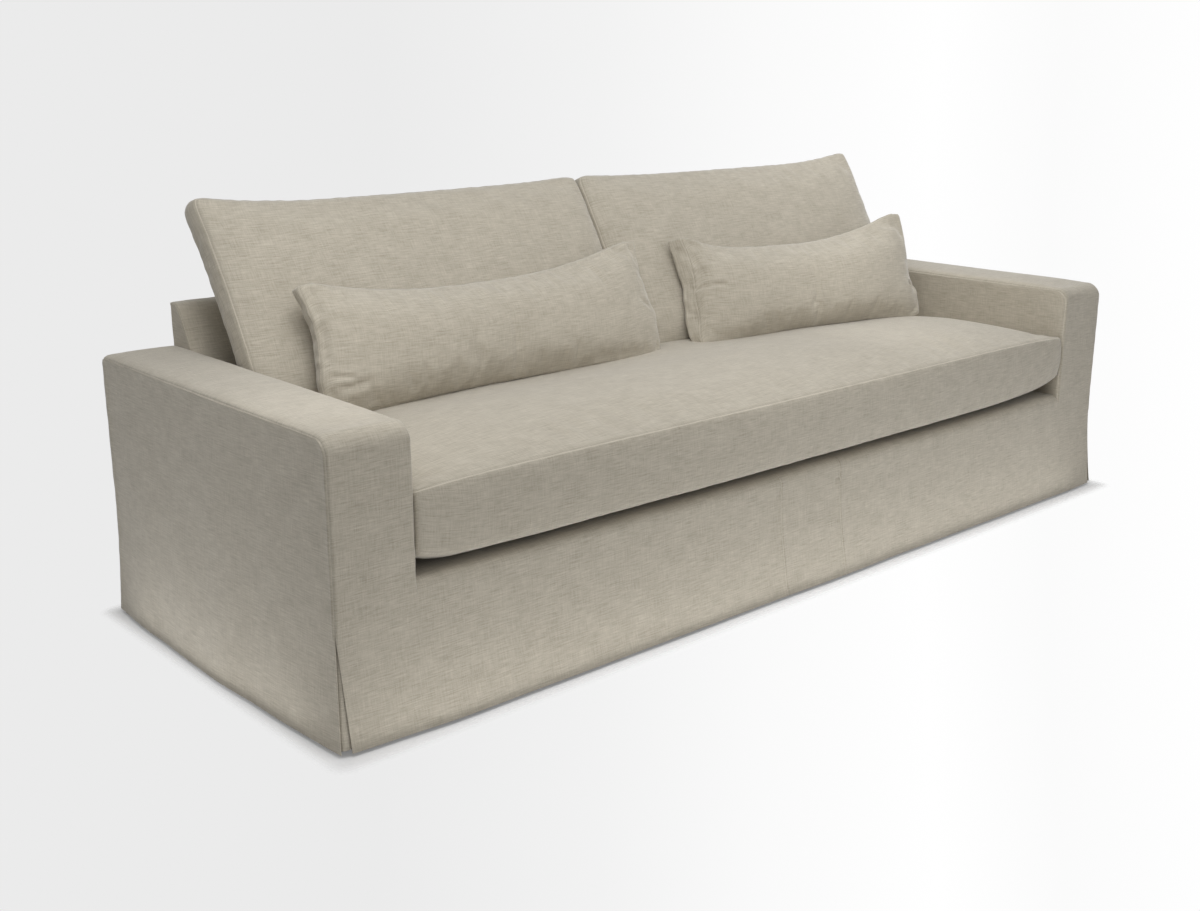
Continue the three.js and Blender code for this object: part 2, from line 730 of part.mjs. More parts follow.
function zipTape(zip) {
  const half = zip.length / 2;
  const tape = block([-half, half], [-zipTapeWidth / 2, zipTapeWidth / 2], [-cloth, 0]);
  const chain = block([-half, half], [-zipChainWidth / 2, zipChainWidth / 2], [-cloth / 2, zipChainHeight]);
  return join(tape, chain).applyMatrix4(zip.frame);
}

// The slider straddles the chain at its closed end, and its pull lies back along it.
function zipSlider(zip) {
  const [half, side] = [zipSliderLength / 2, zipSliderWidth / 2];
  const channel = zipChainWidth / 2 + fit;
  const pullTop = zipSliderHeight + zipPullThickness;
  const body = cut(
    block([-half, half], [-side, side], [fit, zipSliderHeight]),
    block([-half - overrun, half + overrun], [-channel, channel], [-overrun, zipChainHeight + fit]),
  );
  const pull = block(
    [-half, zipPullLength - half],
    [-zipPullWidth / 2, zipPullWidth / 2],
    [zipSliderHeight - zipPullThickness / 2, pullTop],
  );
  const start = -zip.length / 2 + zipStop + half;
  return join(body, pull).translate(start, 0, 0).applyMatrix4(zip.frame);
}

// A loose cushion: its sewn cover, the insert inside and the zip that closes it. layer(inset) gives
// the cushion's form with its surface moved inwards.
function addCushion(group, names, layer, zip, insertFinish) {
  const grooved = (inset) => cut(layer(inset), zipGroove(zip, inset));
  addPiece(group, names.cover, cut(grooved(0), grooved(cloth), zipSlot(zip)), finishes.linen);
  addPiece(group, names.insert, grooved(cloth + 3 * fit), insertFinish);
  addPiece(group, names.tape, zipTape(zip), finishes.zipTape);
  addPiece(group, names.slider, zipSlider(zip), finishes.zinc);
}

// The seat cushion's top along its middle, from front to rear, as a share of its crown.
function seatRiseShare(depthShare) {
  return (1 - (1 - depthShare) ** seatCrownEdge) * (1 - seatCrownFallShare * depthShare);
}

function seatTopAt(a, depthShare) {
  const across = (1 - Math.abs(a) ** 5) ** 0.7;
  const dip = seatArmDip * a ** 8 * (1 - seatCornerKeep * (1 - depthShare) ** 10);
  return seatSeamHeight + seatCrown * seatRiseShare(depthShare) * across - dip;
}

const seatShareAt = (y) => (y - seatFrontInset) / (seatRear - seatFrontInset);

// The bench cushion: crowned top, bowed front, and front lower corners that are drawn up.
function seatForm() {
  const place = (a, b, h) => {
    const depthShare = (b + 1) / 2;
    const top = seatTopAt(a, depthShare);
    const edgeRise = seatFrontRise * Math.max(Math.abs(a), Math.abs(b)) ** 18;
    const bottom = seatBottom + edgeRise + seatCornerRise * Math.abs(a * b) ** 18;
    const bow = -seatFrontBow * (1 - a ** 2) * (1 - depthShare) ** 4;
    const swell = seatBoxBulge * (1 - h ** 2);
    const x = a * seatHalf;
    const y = seatFrontInset + (seatRear - seatFrontInset) * depthShare + bow - (b === -1 ? swell : 0);
    return new THREE.Vector3(x, y, bottom + ((top - bottom) * (h + 1)) / 2);
  };
  return padForm(easedStops(18), easedStops(7), [-1, 0, 1], place);
}

function addSeatCushion() {
  const frame = new THREE.Matrix4().makeBasis(
    new THREE.Vector3(-1, 0, 0),
    new THREE.Vector3(0, 0, 1),
    new THREE.Vector3(0, 1, 0),
  );
  frame.setPosition(0, seatRear - seatZipDepth, (seatBottom + seatSeamHeight) / 2);
  const names = {
    cover: 'seat_cushion_cover', insert: 'seat_cushion_core', tape: 'seat_zip_tape', slider: 'seat_zip_slider',
  };
  const layer = (inset) => shrunk(seatForm(), inset);
  addCushion(sofa, names, layer, { length: seatZipLength, frame }, finishes.foam);
}

// A leaning group: its X runs along the sofa, its Y up the lean and its Z out of the front face.
function leaningGroup({ x, y, z }, lean, yaw) {
  const group = new THREE.Group();
  group.position.set(x, y, z);
  group.rotation.set(Math.PI / 2 - lean, 0, yaw, 'ZXY');
  group.updateMatrix();
  sofa.add(group);
  return group;
}

// All that lies below a level, as a block in a leaning group's frame.
function below(group, level, reach) {
  const room = block([-reach, reach], [-reach, reach], [-reach, level]);
  room.translate(group.position.x, group.position.y, 0);
  return room.applyMatrix4(group.matrix.clone().invert());
}

// A frame for a zip on the rear face of a leaning cushion, tilted about its length.
function rearZipFrame(rise, out, tilt) {
  const frame = new THREE.Matrix4().makeRotationX(Math.PI - tilt);
  return frame.setPosition(0, rise, out);
}

// A share from 1 in the middle of a cushion's face to nothing at its seams.
const bulge = (a, b, power, fullness) => ((1 - Math.abs(a) ** power) * (1 - Math.abs(b) ** power)) ** fullness;

const backRearSeam = backSeamFront - backBoxing;

// The cushions' own plane at the level that they stand on, forward of the inner back's foot.
const backCushionReach = (backRearCrown - backRearSeam + backCushionGap
  - (leanBase - leanHeight) * Math.sin(backLean)) / Math.cos(backLean);
const backCushionPlane = backFoot - backCushionReach;

function backCushionForm(outward) {
  const half = backCushionLength / 2;
  const place = (a, b, h) => {
    const way = Math.sign(a);
    const ear = (a * outward > 0 ? backOuterEar : backInnerEar) * a ** 4;
    const swell = backBoxBulge * (1 - h ** 2);
    const endSwell = Math.abs(a) === 1 ? way * swell : 0;
    const draw = way * (backBoxBulge + a ** 6 * backEndDraw * (1 - b ** 2));
    const x = a * half - draw + endSwell;
    const height = backCushionHeight + ear + backCushionSink;
    const up = -backCushionSink + (height * (b + 1)) / 2 + (b === 1 ? swell : 0);
    const frontSeam = backSeamFront + backSeamBow * (1 - b ** 2);
    const out = backRearSeam + ((frontSeam - backRearSeam) * (h + 1)) / 2;
    const crown = (h > 0 ? backFrontCrown : -backRearCrown) * bulge(a, b, 5, 0.6);
    return new THREE.Vector3(x, up, h === 0 ? out : out + crown);
  };
  return padForm(easedStops(11), easedStops(8), [-1, 0, 1], place);
}

function addBackCushion(name, outward) {
  const place = {
    x: (outward * (backCushionLength + backCushionMiddleGap)) / 2,
    y: backCushionPlane,
    z: leanBase,
  };
  const group = leaningGroup(place, backLean, -outward * backCushionYaw);
  const rest = seatTopAt(0, seatShareAt(place.y - backSeamFront - backFrontCrown)) + fit;
  const layer = (inset) => cut(
    shrunk(backCushionForm(outward), inset),
    below(group, rest + inset, backCushionLength),
  );
  const floor = backRearSeam - backRearCrown + backZipDepth;
  const zip = { length: backZipLength, frame: rearZipFrame(backZipRise, floor, 0) };
  const names = {
    cover: `back_cushion_cover_${name}`, insert: `back_cushion_insert_${name}`,
    tape: `back_zip_tape_${name}`, slider: `back_zip_slider_${name}`,
  };
  addCushion(group, names, layer, zip, finishes.fibre);
}

// The pillow's rear seam, whose boxing narrows towards the foot.
function pillowRearSeam(heightShare) {
  return -pillowBoxing * (1 - pillowBoxTaper * (1 - heightShare));
}

const pillowCrown = (a, b) => bulge(a, b, 3, 0.75);

// A narrow boxed pillow with a dip between the corners of its top edge.
function pillowForm(length, dip) {
  const place = (a, b, h) => {
    const corner = pillowCornerCut * Math.abs(a * b) ** 12;
    const head = pillowHeight - dip * (1 - a ** 4);
    const up = -pillowSink + ((head + pillowSink) * (b + 1)) / 2 - Math.sign(b) * corner;
    const draw = a ** 4 * pillowEndDraw * (1 - b ** 2) + corner;
    const seam = h > 0 ? 0 : pillowRearSeam((b + 1) / 2);
    const crown = (h > 0 ? pillowFront : -pillowRear) * pillowCrown(a, b);
    return new THREE.Vector3((a * length) / 2 - Math.sign(a) * draw, up, seam + crown);
  };
  return padForm(easedStops(12), easedStops(6), [-1, 1], place);
}

function addPillow(name, pillow) {
  const length = innerHalf - pillow.armGap - pillow.middleGap;
  const place = {
    x: pillow.way * (pillow.middleGap + length / 2),
    y: backCushionPlane - pillow.inFront,
    z: leanBase,
  };
  const crest = Math.max(...evenStops(20, 0, 1).map((share) => seatTopAt(0, share)));
  const group = leaningGroup(place, pillowLean, THREE.MathUtils.degToRad(pillow.yaw));
  const layer = (inset) => cut(
    shrunk(pillowForm(length, pillow.dip), inset),
    below(group, crest + fit + inset, length),
  );
  const riseShare = (pillowZipRise + pillowSink) / (pillowHeight - pillow.dip + pillowSink);
  const rear = pillowRearSeam(riseShare) - pillowRear * pillowCrown(0, 2 * riseShare - 1);
  const frame = rearZipFrame(pillowZipRise, rear + pillowZipDepth, pillowZipTilt);
  const names = {
    cover: `pillow_cover_${name}`, insert: `pillow_insert_${name}`,
    tape: `pillow_zip_tape_${name}`, slider: `pillow_zip_slider_${name}`,
  };
  addCushion(group, names, layer, { length: pillowZipLength, frame }, finishes.fibre);
}

addBase();
addLegs();
addDustCover();
addSprings();
addBackFrame();
addDeckPadding();
addBackPadding();
for (const side of sides) {
  addArmBoards(side);
  addArmPadding(side);
  addArmCover(side);
  addVentUnderlap(side);
}
addDeckCover();
addInnerBackCover();
addOuterBackCover();
addSeatCushion();
addBackCushion('left', -1);
addBackCushion('right', 1);
addPillow('left', leftPillow);
addPillow('right', rightPillow);

// The part's own frame has its origin on the floor under the middle of its box.
sofa.position.y = -(sofaDepth - frontFlare) / 2;
const part = new THREE.Group();
part.add(sofa);

export default part;
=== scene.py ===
import math

import bmesh
import bpy
import numpy as np
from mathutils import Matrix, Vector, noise


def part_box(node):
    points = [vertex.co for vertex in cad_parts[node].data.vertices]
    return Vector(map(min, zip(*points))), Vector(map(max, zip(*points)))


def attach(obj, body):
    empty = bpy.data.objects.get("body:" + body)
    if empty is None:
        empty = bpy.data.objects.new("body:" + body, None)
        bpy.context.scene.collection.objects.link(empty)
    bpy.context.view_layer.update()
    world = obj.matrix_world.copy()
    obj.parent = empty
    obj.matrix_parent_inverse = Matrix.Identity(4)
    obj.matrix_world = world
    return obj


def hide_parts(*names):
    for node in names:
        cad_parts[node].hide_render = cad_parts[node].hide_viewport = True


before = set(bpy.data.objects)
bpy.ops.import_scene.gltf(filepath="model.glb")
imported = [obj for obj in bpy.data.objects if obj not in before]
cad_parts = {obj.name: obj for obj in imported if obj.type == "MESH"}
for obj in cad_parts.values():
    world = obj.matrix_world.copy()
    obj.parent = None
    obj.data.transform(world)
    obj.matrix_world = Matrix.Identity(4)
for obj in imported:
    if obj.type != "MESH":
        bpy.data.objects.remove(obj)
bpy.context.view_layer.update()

# Camera. It stands to the left in front of the sofa, a little above the back, and looks down by
# 16 degrees, with a 42 mm lens on a 36 mm wide sensor.
camera = bpy.data.objects.new("camera", bpy.data.cameras.new("camera"))
bpy.context.scene.collection.objects.link(camera)
camera.location = (-2.5182, -2.5548, 1.2546)
camera.rotation_euler = (math.radians(90 - 15.905), 0, math.radians(-41.645))
camera.data.lens = 42.27
camera.data.sensor_width = 36
camera.data.clip_end = 60
bpy.context.scene.camera = camera
bpy.context.scene.view_settings.view_transform = "Standard"

# Timber base, posts and arm boards. Kiln-dried hardwood, planed and left unfinished, glued and
# screwed at the corners: pale, with a long straight grain along each board.


def linear(colour):
    """The linear colour of an sRGB hex value such as #b4ac9c."""
    channels = [int(colour[i : i + 2], 16) / 255 for i in (1, 3, 5)]
    bent = [c / 12.92 if c <= 0.04045 else ((c + 0.055) / 1.055) ** 2.4 for c in channels]
    return (*bent, 1)


def socket_of(value):
    """A node stands for its first output."""
    return value.outputs[0] if isinstance(value, bpy.types.Node) else value


def add_node(material, kind, inputs=None, **settings):
    """Adds a node with its settings. Each input is a value, another node or one of its outputs."""
    node = material.node_tree.nodes.new("ShaderNode" + kind)
    for name, value in settings.items():
        setattr(node, name, value)
    for socket, value in (inputs or {}).items():
        value = socket_of(value)
        if isinstance(value, bpy.types.NodeSocket):
            material.node_tree.links.new(value, node.inputs[socket])
        else:
            node.inputs[socket].default_value = value
    return node


def new_finish(name, **inputs):
    """A material of one Principled shader, with these constant inputs."""
    material = bpy.data.materials.new(name)
    material.use_nodes = True
    shader = material.node_tree.nodes["Principled BSDF"]
    for socket, value in inputs.items():
        shader.inputs[socket.replace("_", " ")].default_value = value
    return material, shader


def wire(material, value, shader, socket):
    """Joins a node or its output to one of the shader's inputs."""
    material.node_tree.links.new(socket_of(value), shader.inputs[socket])


def dress(node, material):
    """Gives a CAD node its finish."""
    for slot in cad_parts[node].material_slots:
        slot.material = material


def planed_hardwood(name, grain):
    """Grain streaks are 6 mm wide and 300 mm long, along the board."""
    material, shader = new_finish(name, Roughness=0.62)
    place = add_node(material, "TexCoord").outputs["Object"]
    scale = [1000 / (300 if axis == grain else 6) for axis in "xyz"]
    streaks = add_node(material, "Mapping", {"Vector": place, "Scale": scale})
    fine = {"Vector": streaks, "Scale": 1, "Detail": 4, "Roughness": 0.6, "Distortion": 0.6}
    grain_noise = add_node(material, "TexNoise", fine)
    blotch = add_node(material, "TexNoise", {"Vector": place, "Scale": 1000 / 140, "Detail": 2})
    both = {0: grain_noise, 1: 0.75, 2: blotch}
    both = add_node(material, "Math", both, operation="MULTIPLY_ADD")
    share = add_node(material, "MapRange", {0: both, 1: 0.62, 2: 1.15})
    colours = {0: share, 6: linear("#a98a5f"), 7: linear("#d3b88d")}
    colour = add_node(material, "Mix", colours, data_type="RGBA")
    wire(material, colour.outputs[2], shader, "Base Color")
    relief = {"Height": grain_noise, "Strength": 0.35, "Distance": 0.0006}
    wire(material, add_node(material, "Bump", relief), shader, "Normal")
    return material


hardwood = {axis: planed_hardwood(f"planed_hardwood_{axis}", axis) for axis in "xyz"}
boards = {
    "x": ["front_rail", "rear_rail", "spring_rail", "back_top_rail"],
    "y": ["end_rail_left", "end_rail_right", "centre_stretcher"],
    "z": ["back_post_left", "back_post_right", "leg_centre"],
}
for side in ("left", "right"):
    boards["y"].append(f"arm_top_board_{side}")
    boards["z"] += [f"arm_front_board_{side}", f"arm_rear_board_{side}"]
    boards["z"] += [f"leg_front_{side}", f"leg_rear_{side}"]
for axis, names in boards.items():
    for name in names:
        dress(name, hardwood[axis])

# Back board. Birch plywood, sanded and screwed to the posts: a broad wavy figure from the peeled
# veneer, a little darker along its growth rings.


def mottled(name, dark, pale, size, detail, rough=None, relief=None, distortion=0, **inputs):
    """A finish with one noise. Its spots have sizes in mm along x, y and z, or two along the cloth
    and across it. It shades the colour, and may turn the roughness between two values or give a
    relief of a strength and a height in mm."""
    material, shader = new_finish(name, **inputs)
    if len(size) == 2:
        place = add_node(material, "UVMap", uv_map="cloth").outputs[0]
    else:
        place = add_node(material, "TexCoord").outputs["Object"]
    scale = [1000 / mm for mm in (*size, 1000)[:3]]
    scaled = add_node(material, "Mapping", {"Vector": place, "Scale": scale})
    noise_inputs = {"Vector": scaled, "Scale": 1, "Detail": detail, "Distortion": distortion}
    spots = add_node(material, "TexNoise", noise_inputs)
    colours = {0: spots, 6: linear(dark), 7: linear(pale)}
    colour = add_node(material, "Mix", colours, data_type="RGBA")
    wire(material, colour.outputs[2], shader, "Base Color")
    if rough:
        dull = add_node(material, "MapRange", {0: spots, 1: 0.3, 2: 0.7, 3: rough[0], 4: rough[1]})
        wire(material, dull, shader, "Roughness")
    if relief:
        raised = {"Height": spots, "Strength": relief[0], "Distance": relief[1] / 1000}
        wire(material, add_node(material, "Bump", raised), shader, "Normal")
    return material


plywood = mottled(
    "birch_plywood", "#b8976a", "#e0caa3", (900, 60, 110), 3, distortion=1.6, Roughness=0.6
)
dress("back_board", plywood)

# Glides. Turned nylon feet nailed under the legs: dark, faintly mottled and half glossy, and dull
# where they have rubbed on the floor.
LEG_PLACES = ("front_left", "front_right", "rear_left", "rear_right", "centre")
nylon = mottled("moulded_nylon", "#242321", "#3a3937", (4, 4, 4), 3, rough=(0.45, 0.7), IOR=1.53)
for corner in LEG_PLACES:
    dress(f"glide_{corner}", nylon)

# Seat springs. Sinuous springs of oiled steel wire, clipped to the rails and tied together: dark
# grey, with a dull shine and darker patches of oil.
steel = mottled(
    "oiled_spring_steel", "#4c4d50", "#8d8f92", (25, 25, 25), 4, rough=(0.32, 0.5), Metallic=1.0
)
dress("seat_springs", steel)

# Dust cover. A sheet of black spun-bonded cloth, stapled under the rails and notched round the
# legs: matt and felted, and slack between its staples.
ORIGIN = np.array((0, 464.5, 0))  # mm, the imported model's origin seen from the arms' fronts
MIDDLE = (0, 464, 300)  # a point inside the sofa
UNSEWN = 60.0  # mm, stands for a point far from any seam
SEAM_ROWS = (0, 1.4, 3.2, 6, 10)  # mm from a seam, where the cloth turns


def stops(length, cell, fine=(0, 1)):
    """Shares of a length, a cell apart, and closer at the shares where cloth turns."""
    marks = {0.0, float(length)}
    for share in fine:
        for row in SEAM_ROWS:
            marks |= {at for at in (share * length - row, share * length + row) if 0 < at < length}
    marks, found = sorted(marks), []
    for low, high in zip(marks, marks[1:]):
        cells = max(1, math.ceil((high - low) / cell))
        found += list(np.linspace(low, high, cells, endpoint=False))
    return np.array(found + [length]) / length


def net(place, across, along, seams="", inside=MIDDLE, flat=None, shift=0.0):
    """One cut piece of cloth as a net of cells, in mm. place gives x, y and z for each pair of
    values, seams names its sewn edges, inside is a point behind it, and shift moves its weave."""
    a, b = np.meshgrid(across, along, indexing="ij")
    points = np.stack(np.broadcast_arrays(*place(a, b)), -1).astype(float)
    run_a = np.zeros(a.shape)
    run_b = np.zeros(a.shape)
    run_a[1:] = np.cumsum(np.linalg.norm(np.diff(points, axis=0), axis=-1), 0)
    run_b[:, 1:] = np.cumsum(np.linalg.norm(np.diff(points, axis=1), axis=-1), 1)
    away = {"a0": run_a, "a1": run_a[-1] - run_a, "b0": run_b, "b1": run_b[:, -1:] - run_b}
    seam = np.full(a.shape, UNSEWN)
    for edge in seams.split():
        seam = np.minimum(seam, away[edge])
    cloth = np.stack(flat(a, b) if flat else (run_a, run_b), -1) / 1000 + (shift, 1.7 * shift)
    number = np.arange(a.size).reshape(a.shape)
    quads = np.stack([number[:-1, :-1], number[1:, :-1], number[1:, 1:], number[:-1, 1:]], -1)
    quads = quads.reshape(-1, 4)
    flat_points = points.reshape(-1, 3)
    corners = flat_points[quads]
    normal = np.cross(corners[:, 2] - corners[:, 0], corners[:, 3] - corners[:, 1])
    if np.sum(normal * (corners.mean(1) - np.array(inside))) < 0:
        quads = quads[:, ::-1]
    return flat_points, quads, cloth.reshape(-1, 2), seam.reshape(-1)


def sewn(name, nets, weld=0.05):
    """Joins nets along the edges that they share into one piece, in metres."""
    points = np.concatenate([n[0] for n in nets])
    starts = np.cumsum([0] + [len(n[0]) for n in nets])
    quads = np.concatenate([n[1] + start for n, start in zip(nets, starts)])
    cloth = np.concatenate([n[2] for n in nets])
    seam = np.concatenate([n[3] for n in nets])
    mesh = bpy.data.meshes.new(name)
    mesh.from_pydata(((points - ORIGIN) / 1000).tolist(), [], quads.tolist())
    mesh.uv_layers.new(name="cloth").data.foreach_set("uv", cloth[quads.reshape(-1)].ravel())
    mesh.attributes.new("seam", "FLOAT", "POINT").data.foreach_set("value", seam)
    shape = bmesh.new()
    shape.from_mesh(mesh)
    bmesh.ops.remove_doubles(shape, verts=shape.verts, dist=weld / 1000)
    bmesh.ops.delete(shape, geom=[v for v in shape.verts if not v.link_faces], context="VERTS")
    shape.to_mesh(mesh)
    mesh.shade_smooth()
    rim = [edge.is_boundary for edge in shape.edges]
    mesh.attributes.new("sharp_edge", "BOOLEAN", "EDGE").data.foreach_set("value", rim)
    shape.free()
    piece = bpy.data.objects.new(name, mesh)
    bpy.context.scene.collection.objects.link(piece)
    return piece


def thicken(piece, thickness, offset=-1.0):
    """Gives open cloth its thickness, inwards."""
    solid = piece.modifiers.new("thickness", "SOLIDIFY")
    solid.thickness = thickness / 1000
    solid.offset = offset


def read(source, kind, size=3):
    """What each point of a mesh has of one kind."""
    values = np.empty(len(source) * size)
    source.foreach_get(kind, values)
    return values.reshape(-1, size)


def points_of(piece):
    """The piece's points in mm, and its normals and seam distances."""
    mesh = piece.data
    points = read(mesh.vertices, "co") * 1000 + ORIGIN
    seam = read(mesh.attributes["seam"].data, "value", 1)[:, 0]
    return points, read(mesh.vertex_normals, "vector"), seam


def reshape_piece(piece, points):
    """Puts new points, in mm, into a piece."""
    piece.data.vertices.foreach_set("co", ((points - ORIGIN) / 1000).ravel())
    piece.data.update()


def ripple(points, size, seed=0.0):
    """Smooth noise from about -1 to 1, with waves of a size in mm, for each point."""
    scaled = points / size + seed
    return np.array([noise.noise(p) for p in scaled.tolist()]) * 1.4


def finish_piece(piece, material, slot, body, *nodes):
    """Gives a piece its finish, hides the CAD nodes that it stands for and hangs it from its body's
    empty.
    """
    piece.data.materials.append(material)
    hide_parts(*nodes)
    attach(piece, body)


felt = mottled(
    "black_spun_bond",
    "#161514",
    "#3d3b39",
    (1.6, 1.6),
    5,
    relief=(0.5, 0.4),
    Roughness=0.95,
    Sheen_Weight=0.25,
)


def box_of(node):
    """A CAD node's low and high corners, in mm."""
    return (np.array(corner) * 1000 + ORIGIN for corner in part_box(node))


low, high = box_of("dust_cover")
LEG_GAP = 2  # mm from the cloth to a leg
STAPLE_PITCH = 45  # mm
notches = []
for corner in LEG_PLACES:
    leg_low, leg_high = box_of(f"leg_{corner}")
    notches.append((leg_low - LEG_GAP, leg_high + LEG_GAP))


def lines_between(start, end, cuts, cell):
    """Stops from start to end that pass through every cut between them."""
    marks = sorted({start, end, *(cut for cut in cuts if start < cut < end)})
    found = []
    for a, b in zip(marks, marks[1:]):
        found += list(np.linspace(a, b, max(1, round((b - a) / cell)), endpoint=False))
    return np.array(found + [end])


across = lines_between(low[0], high[0], [n[i][0] for n in notches for i in (0, 1)], 24)
along = lines_between(low[1], high[1], [n[i][1] for n in notches for i in (0, 1)], 24)


def slack_sheet(x, y):
    from_edge = np.min([x - low[0], high[0] - x, y - low[1], high[1] - y], 0)
    sag = 5 * np.clip(from_edge / 160, 0, 1) ** 0.7
    wave = 2 * np.pi / STAPLE_PITCH
    staples = 0.8 * np.cos(x * wave) * np.cos(y * wave) * np.exp(-from_edge / 22)
    return x, y, low[2] + 0.5 - sag + staples


sheet_net = net(slack_sheet, across, along, inside=(0, 464, 900))
middle = sheet_net[0][sheet_net[1]].mean(1)
kept = np.ones(len(middle), bool)
for notch_low, notch_high in notches:
    inside_notch = (middle[:, 0] > notch_low[0]) & (middle[:, 0] < notch_high[0])
    inside_notch &= (middle[:, 1] > notch_low[1]) & (middle[:, 1] < notch_high[1])
    kept &= ~inside_notch
dust_cover = sewn("dust_sheet", [(sheet_net[0], sheet_net[1][kept], *sheet_net[2:])])
thicken(dust_cover, 0.6)
finish_piece(dust_cover, felt, "black_cloth", "frame", "dust_cover")

# Paddings and slipcover share their forms. The padding is cut foam glued to the boards, off-white
# and finely open-celled. Millimetres, with y from the arms' front faces.
HALF_LENGTH = 1302
INNER_HALF = 1120
ARM_TOP = 610
BACK_TOP = 709
BACK_FOOT = 785.0
LEAN_HEIGHT = 490
BACK_LEAN = math.radians(30)
SHELL_REAR = 949.7
DECK = 300
HEM = 8
FRONT_FLARE = 23
SIDE_FLARE = 12
FRONT_ROLL = 36
REAR_ROLL = 10
DECK_ROLL = 24
BACK_ROLL = 35
VENT_TOP = 233
INNER_FOOT = 250  # the arm's inner panel ends under the deck's cover
REAR_EDGE = 4.7  # from the outer back's face to the arm panels' rear edge
END_OUT = 11  # how far the back's ends stand out over the arms


def flare(z, reach):
    """How far the hanging cloth stands out at a height."""
    return reach * (np.maximum(0, DECK - z) / (DECK - HEM)) ** 2


def smooth_step(value):
    """0 below 0, 1 above 1 and smooth between."""
    value = np.clip(value, 0, 1)
    return value * value * (3 - 2 * value)


def front_bow(x, z):
    """How far the front skirt stands out between the vents, more to the left, at a height."""
    share = x / HALF_LENGTH
    swing = np.sin(x / 171 + 1.1) + 0.7 * np.sin(x / 93 + 0.4) + 0.5 * np.sin(x / 61)
    calm = smooth_step((1 - np.abs(share)) / 0.2)
    bow = (12 - 6 * share) * np.maximum(0, 1 - np.abs(share) ** 6)
    return flare(z, 1) * (bow + 1.2 * calm * swing)


def side_bow(y, z):
    """How far the skirt stands out at the arm's outer side, with its soft upright waves."""
    share = np.clip((y - 470) / 480, -1, 1)
    hang = np.clip((560 - z) / (560 - HEM), 0, 1) ** 1.5
    swing = np.sin(y / 62 + 0.6) + 0.6 * np.sin(y / 33 + 2)
    return hang * (1 - share**2) * (18 + 1.3 * swing)


def roll_angles(count):
    return np.linspace(0, np.pi / 2, count)


def roll(y, z, radius, angles):
    """Points and outward normals of cloth rolled about a centre. Angle 0 faces up, and a quarter
    turn faces the front."""
    return [(y - radius * np.sin(t), z + radius * np.cos(t), -np.sin(t), np.cos(t)) for t in angles]


def run_along(y, z):
    """How far each point of a path lies along it."""
    return np.concatenate([[0], np.cumsum(np.hypot(np.diff(y), np.diff(z)))])


def past_roll(z):
    """From 0 at the deck roll's foot to 1 at the deck, where the inner seam begins."""
    return smooth_step((z - (DECK - DECK_ROLL)) / DECK_ROLL)


def arm_path(cell):
    """The arm's top and front in y and z, from its rear edge over the front roll to the hem, with
    its outward normal and the turn of its edges."""
    rear, ends = SHELL_REAR - REAR_ROLL, roll_angles(4)[::-1]
    bite = [8 - 3.3 * (1 - np.cos(t)) for t in ends]
    rows = [(*row, n) for row, n in zip(roll(rear, ARM_TOP - REAR_ROLL, REAR_ROLL, -ends), bite)]
    rows += [(y, ARM_TOP, 0, 1, 8) for y in top_stations(cell)[::-1][1:]]
    turned = roll(FRONT_ROLL, ARM_TOP - FRONT_ROLL, FRONT_ROLL, roll_angles(11)[1:])
    rows += [(*row, 4 + 4 * row[3]) for row in turned]
    rows += [(-flare(z, FRONT_FLARE), z, -1, 0, 4) for z in face_levels(cell)[1:]]
    return np.array(rows).T


def top_stations(cell):
    first, last = FRONT_ROLL, SHELL_REAR - REAR_ROLL
    return first + (last - first) * stops(last - first, cell)


def face_levels(cell):
    """Heights down the arm's front, from the roll to the hem, with one at the vent's top."""
    top = ARM_TOP - FRONT_ROLL
    upper = top + (VENT_TOP - top) * stops(top - VENT_TOP, cell, ())
    lower = VENT_TOP + (HEM - VENT_TOP) * stops(VENT_TOP - HEM, cell, (1,))
    return np.concatenate([upper, lower[1:]])


def vent_share(z):
    return np.clip((VENT_TOP - z) / (VENT_TOP - HEM), 0, 1)


JOINT_SHIFT = 0.742  # m, how far the right-hand width of cloth is cut from the left-hand one


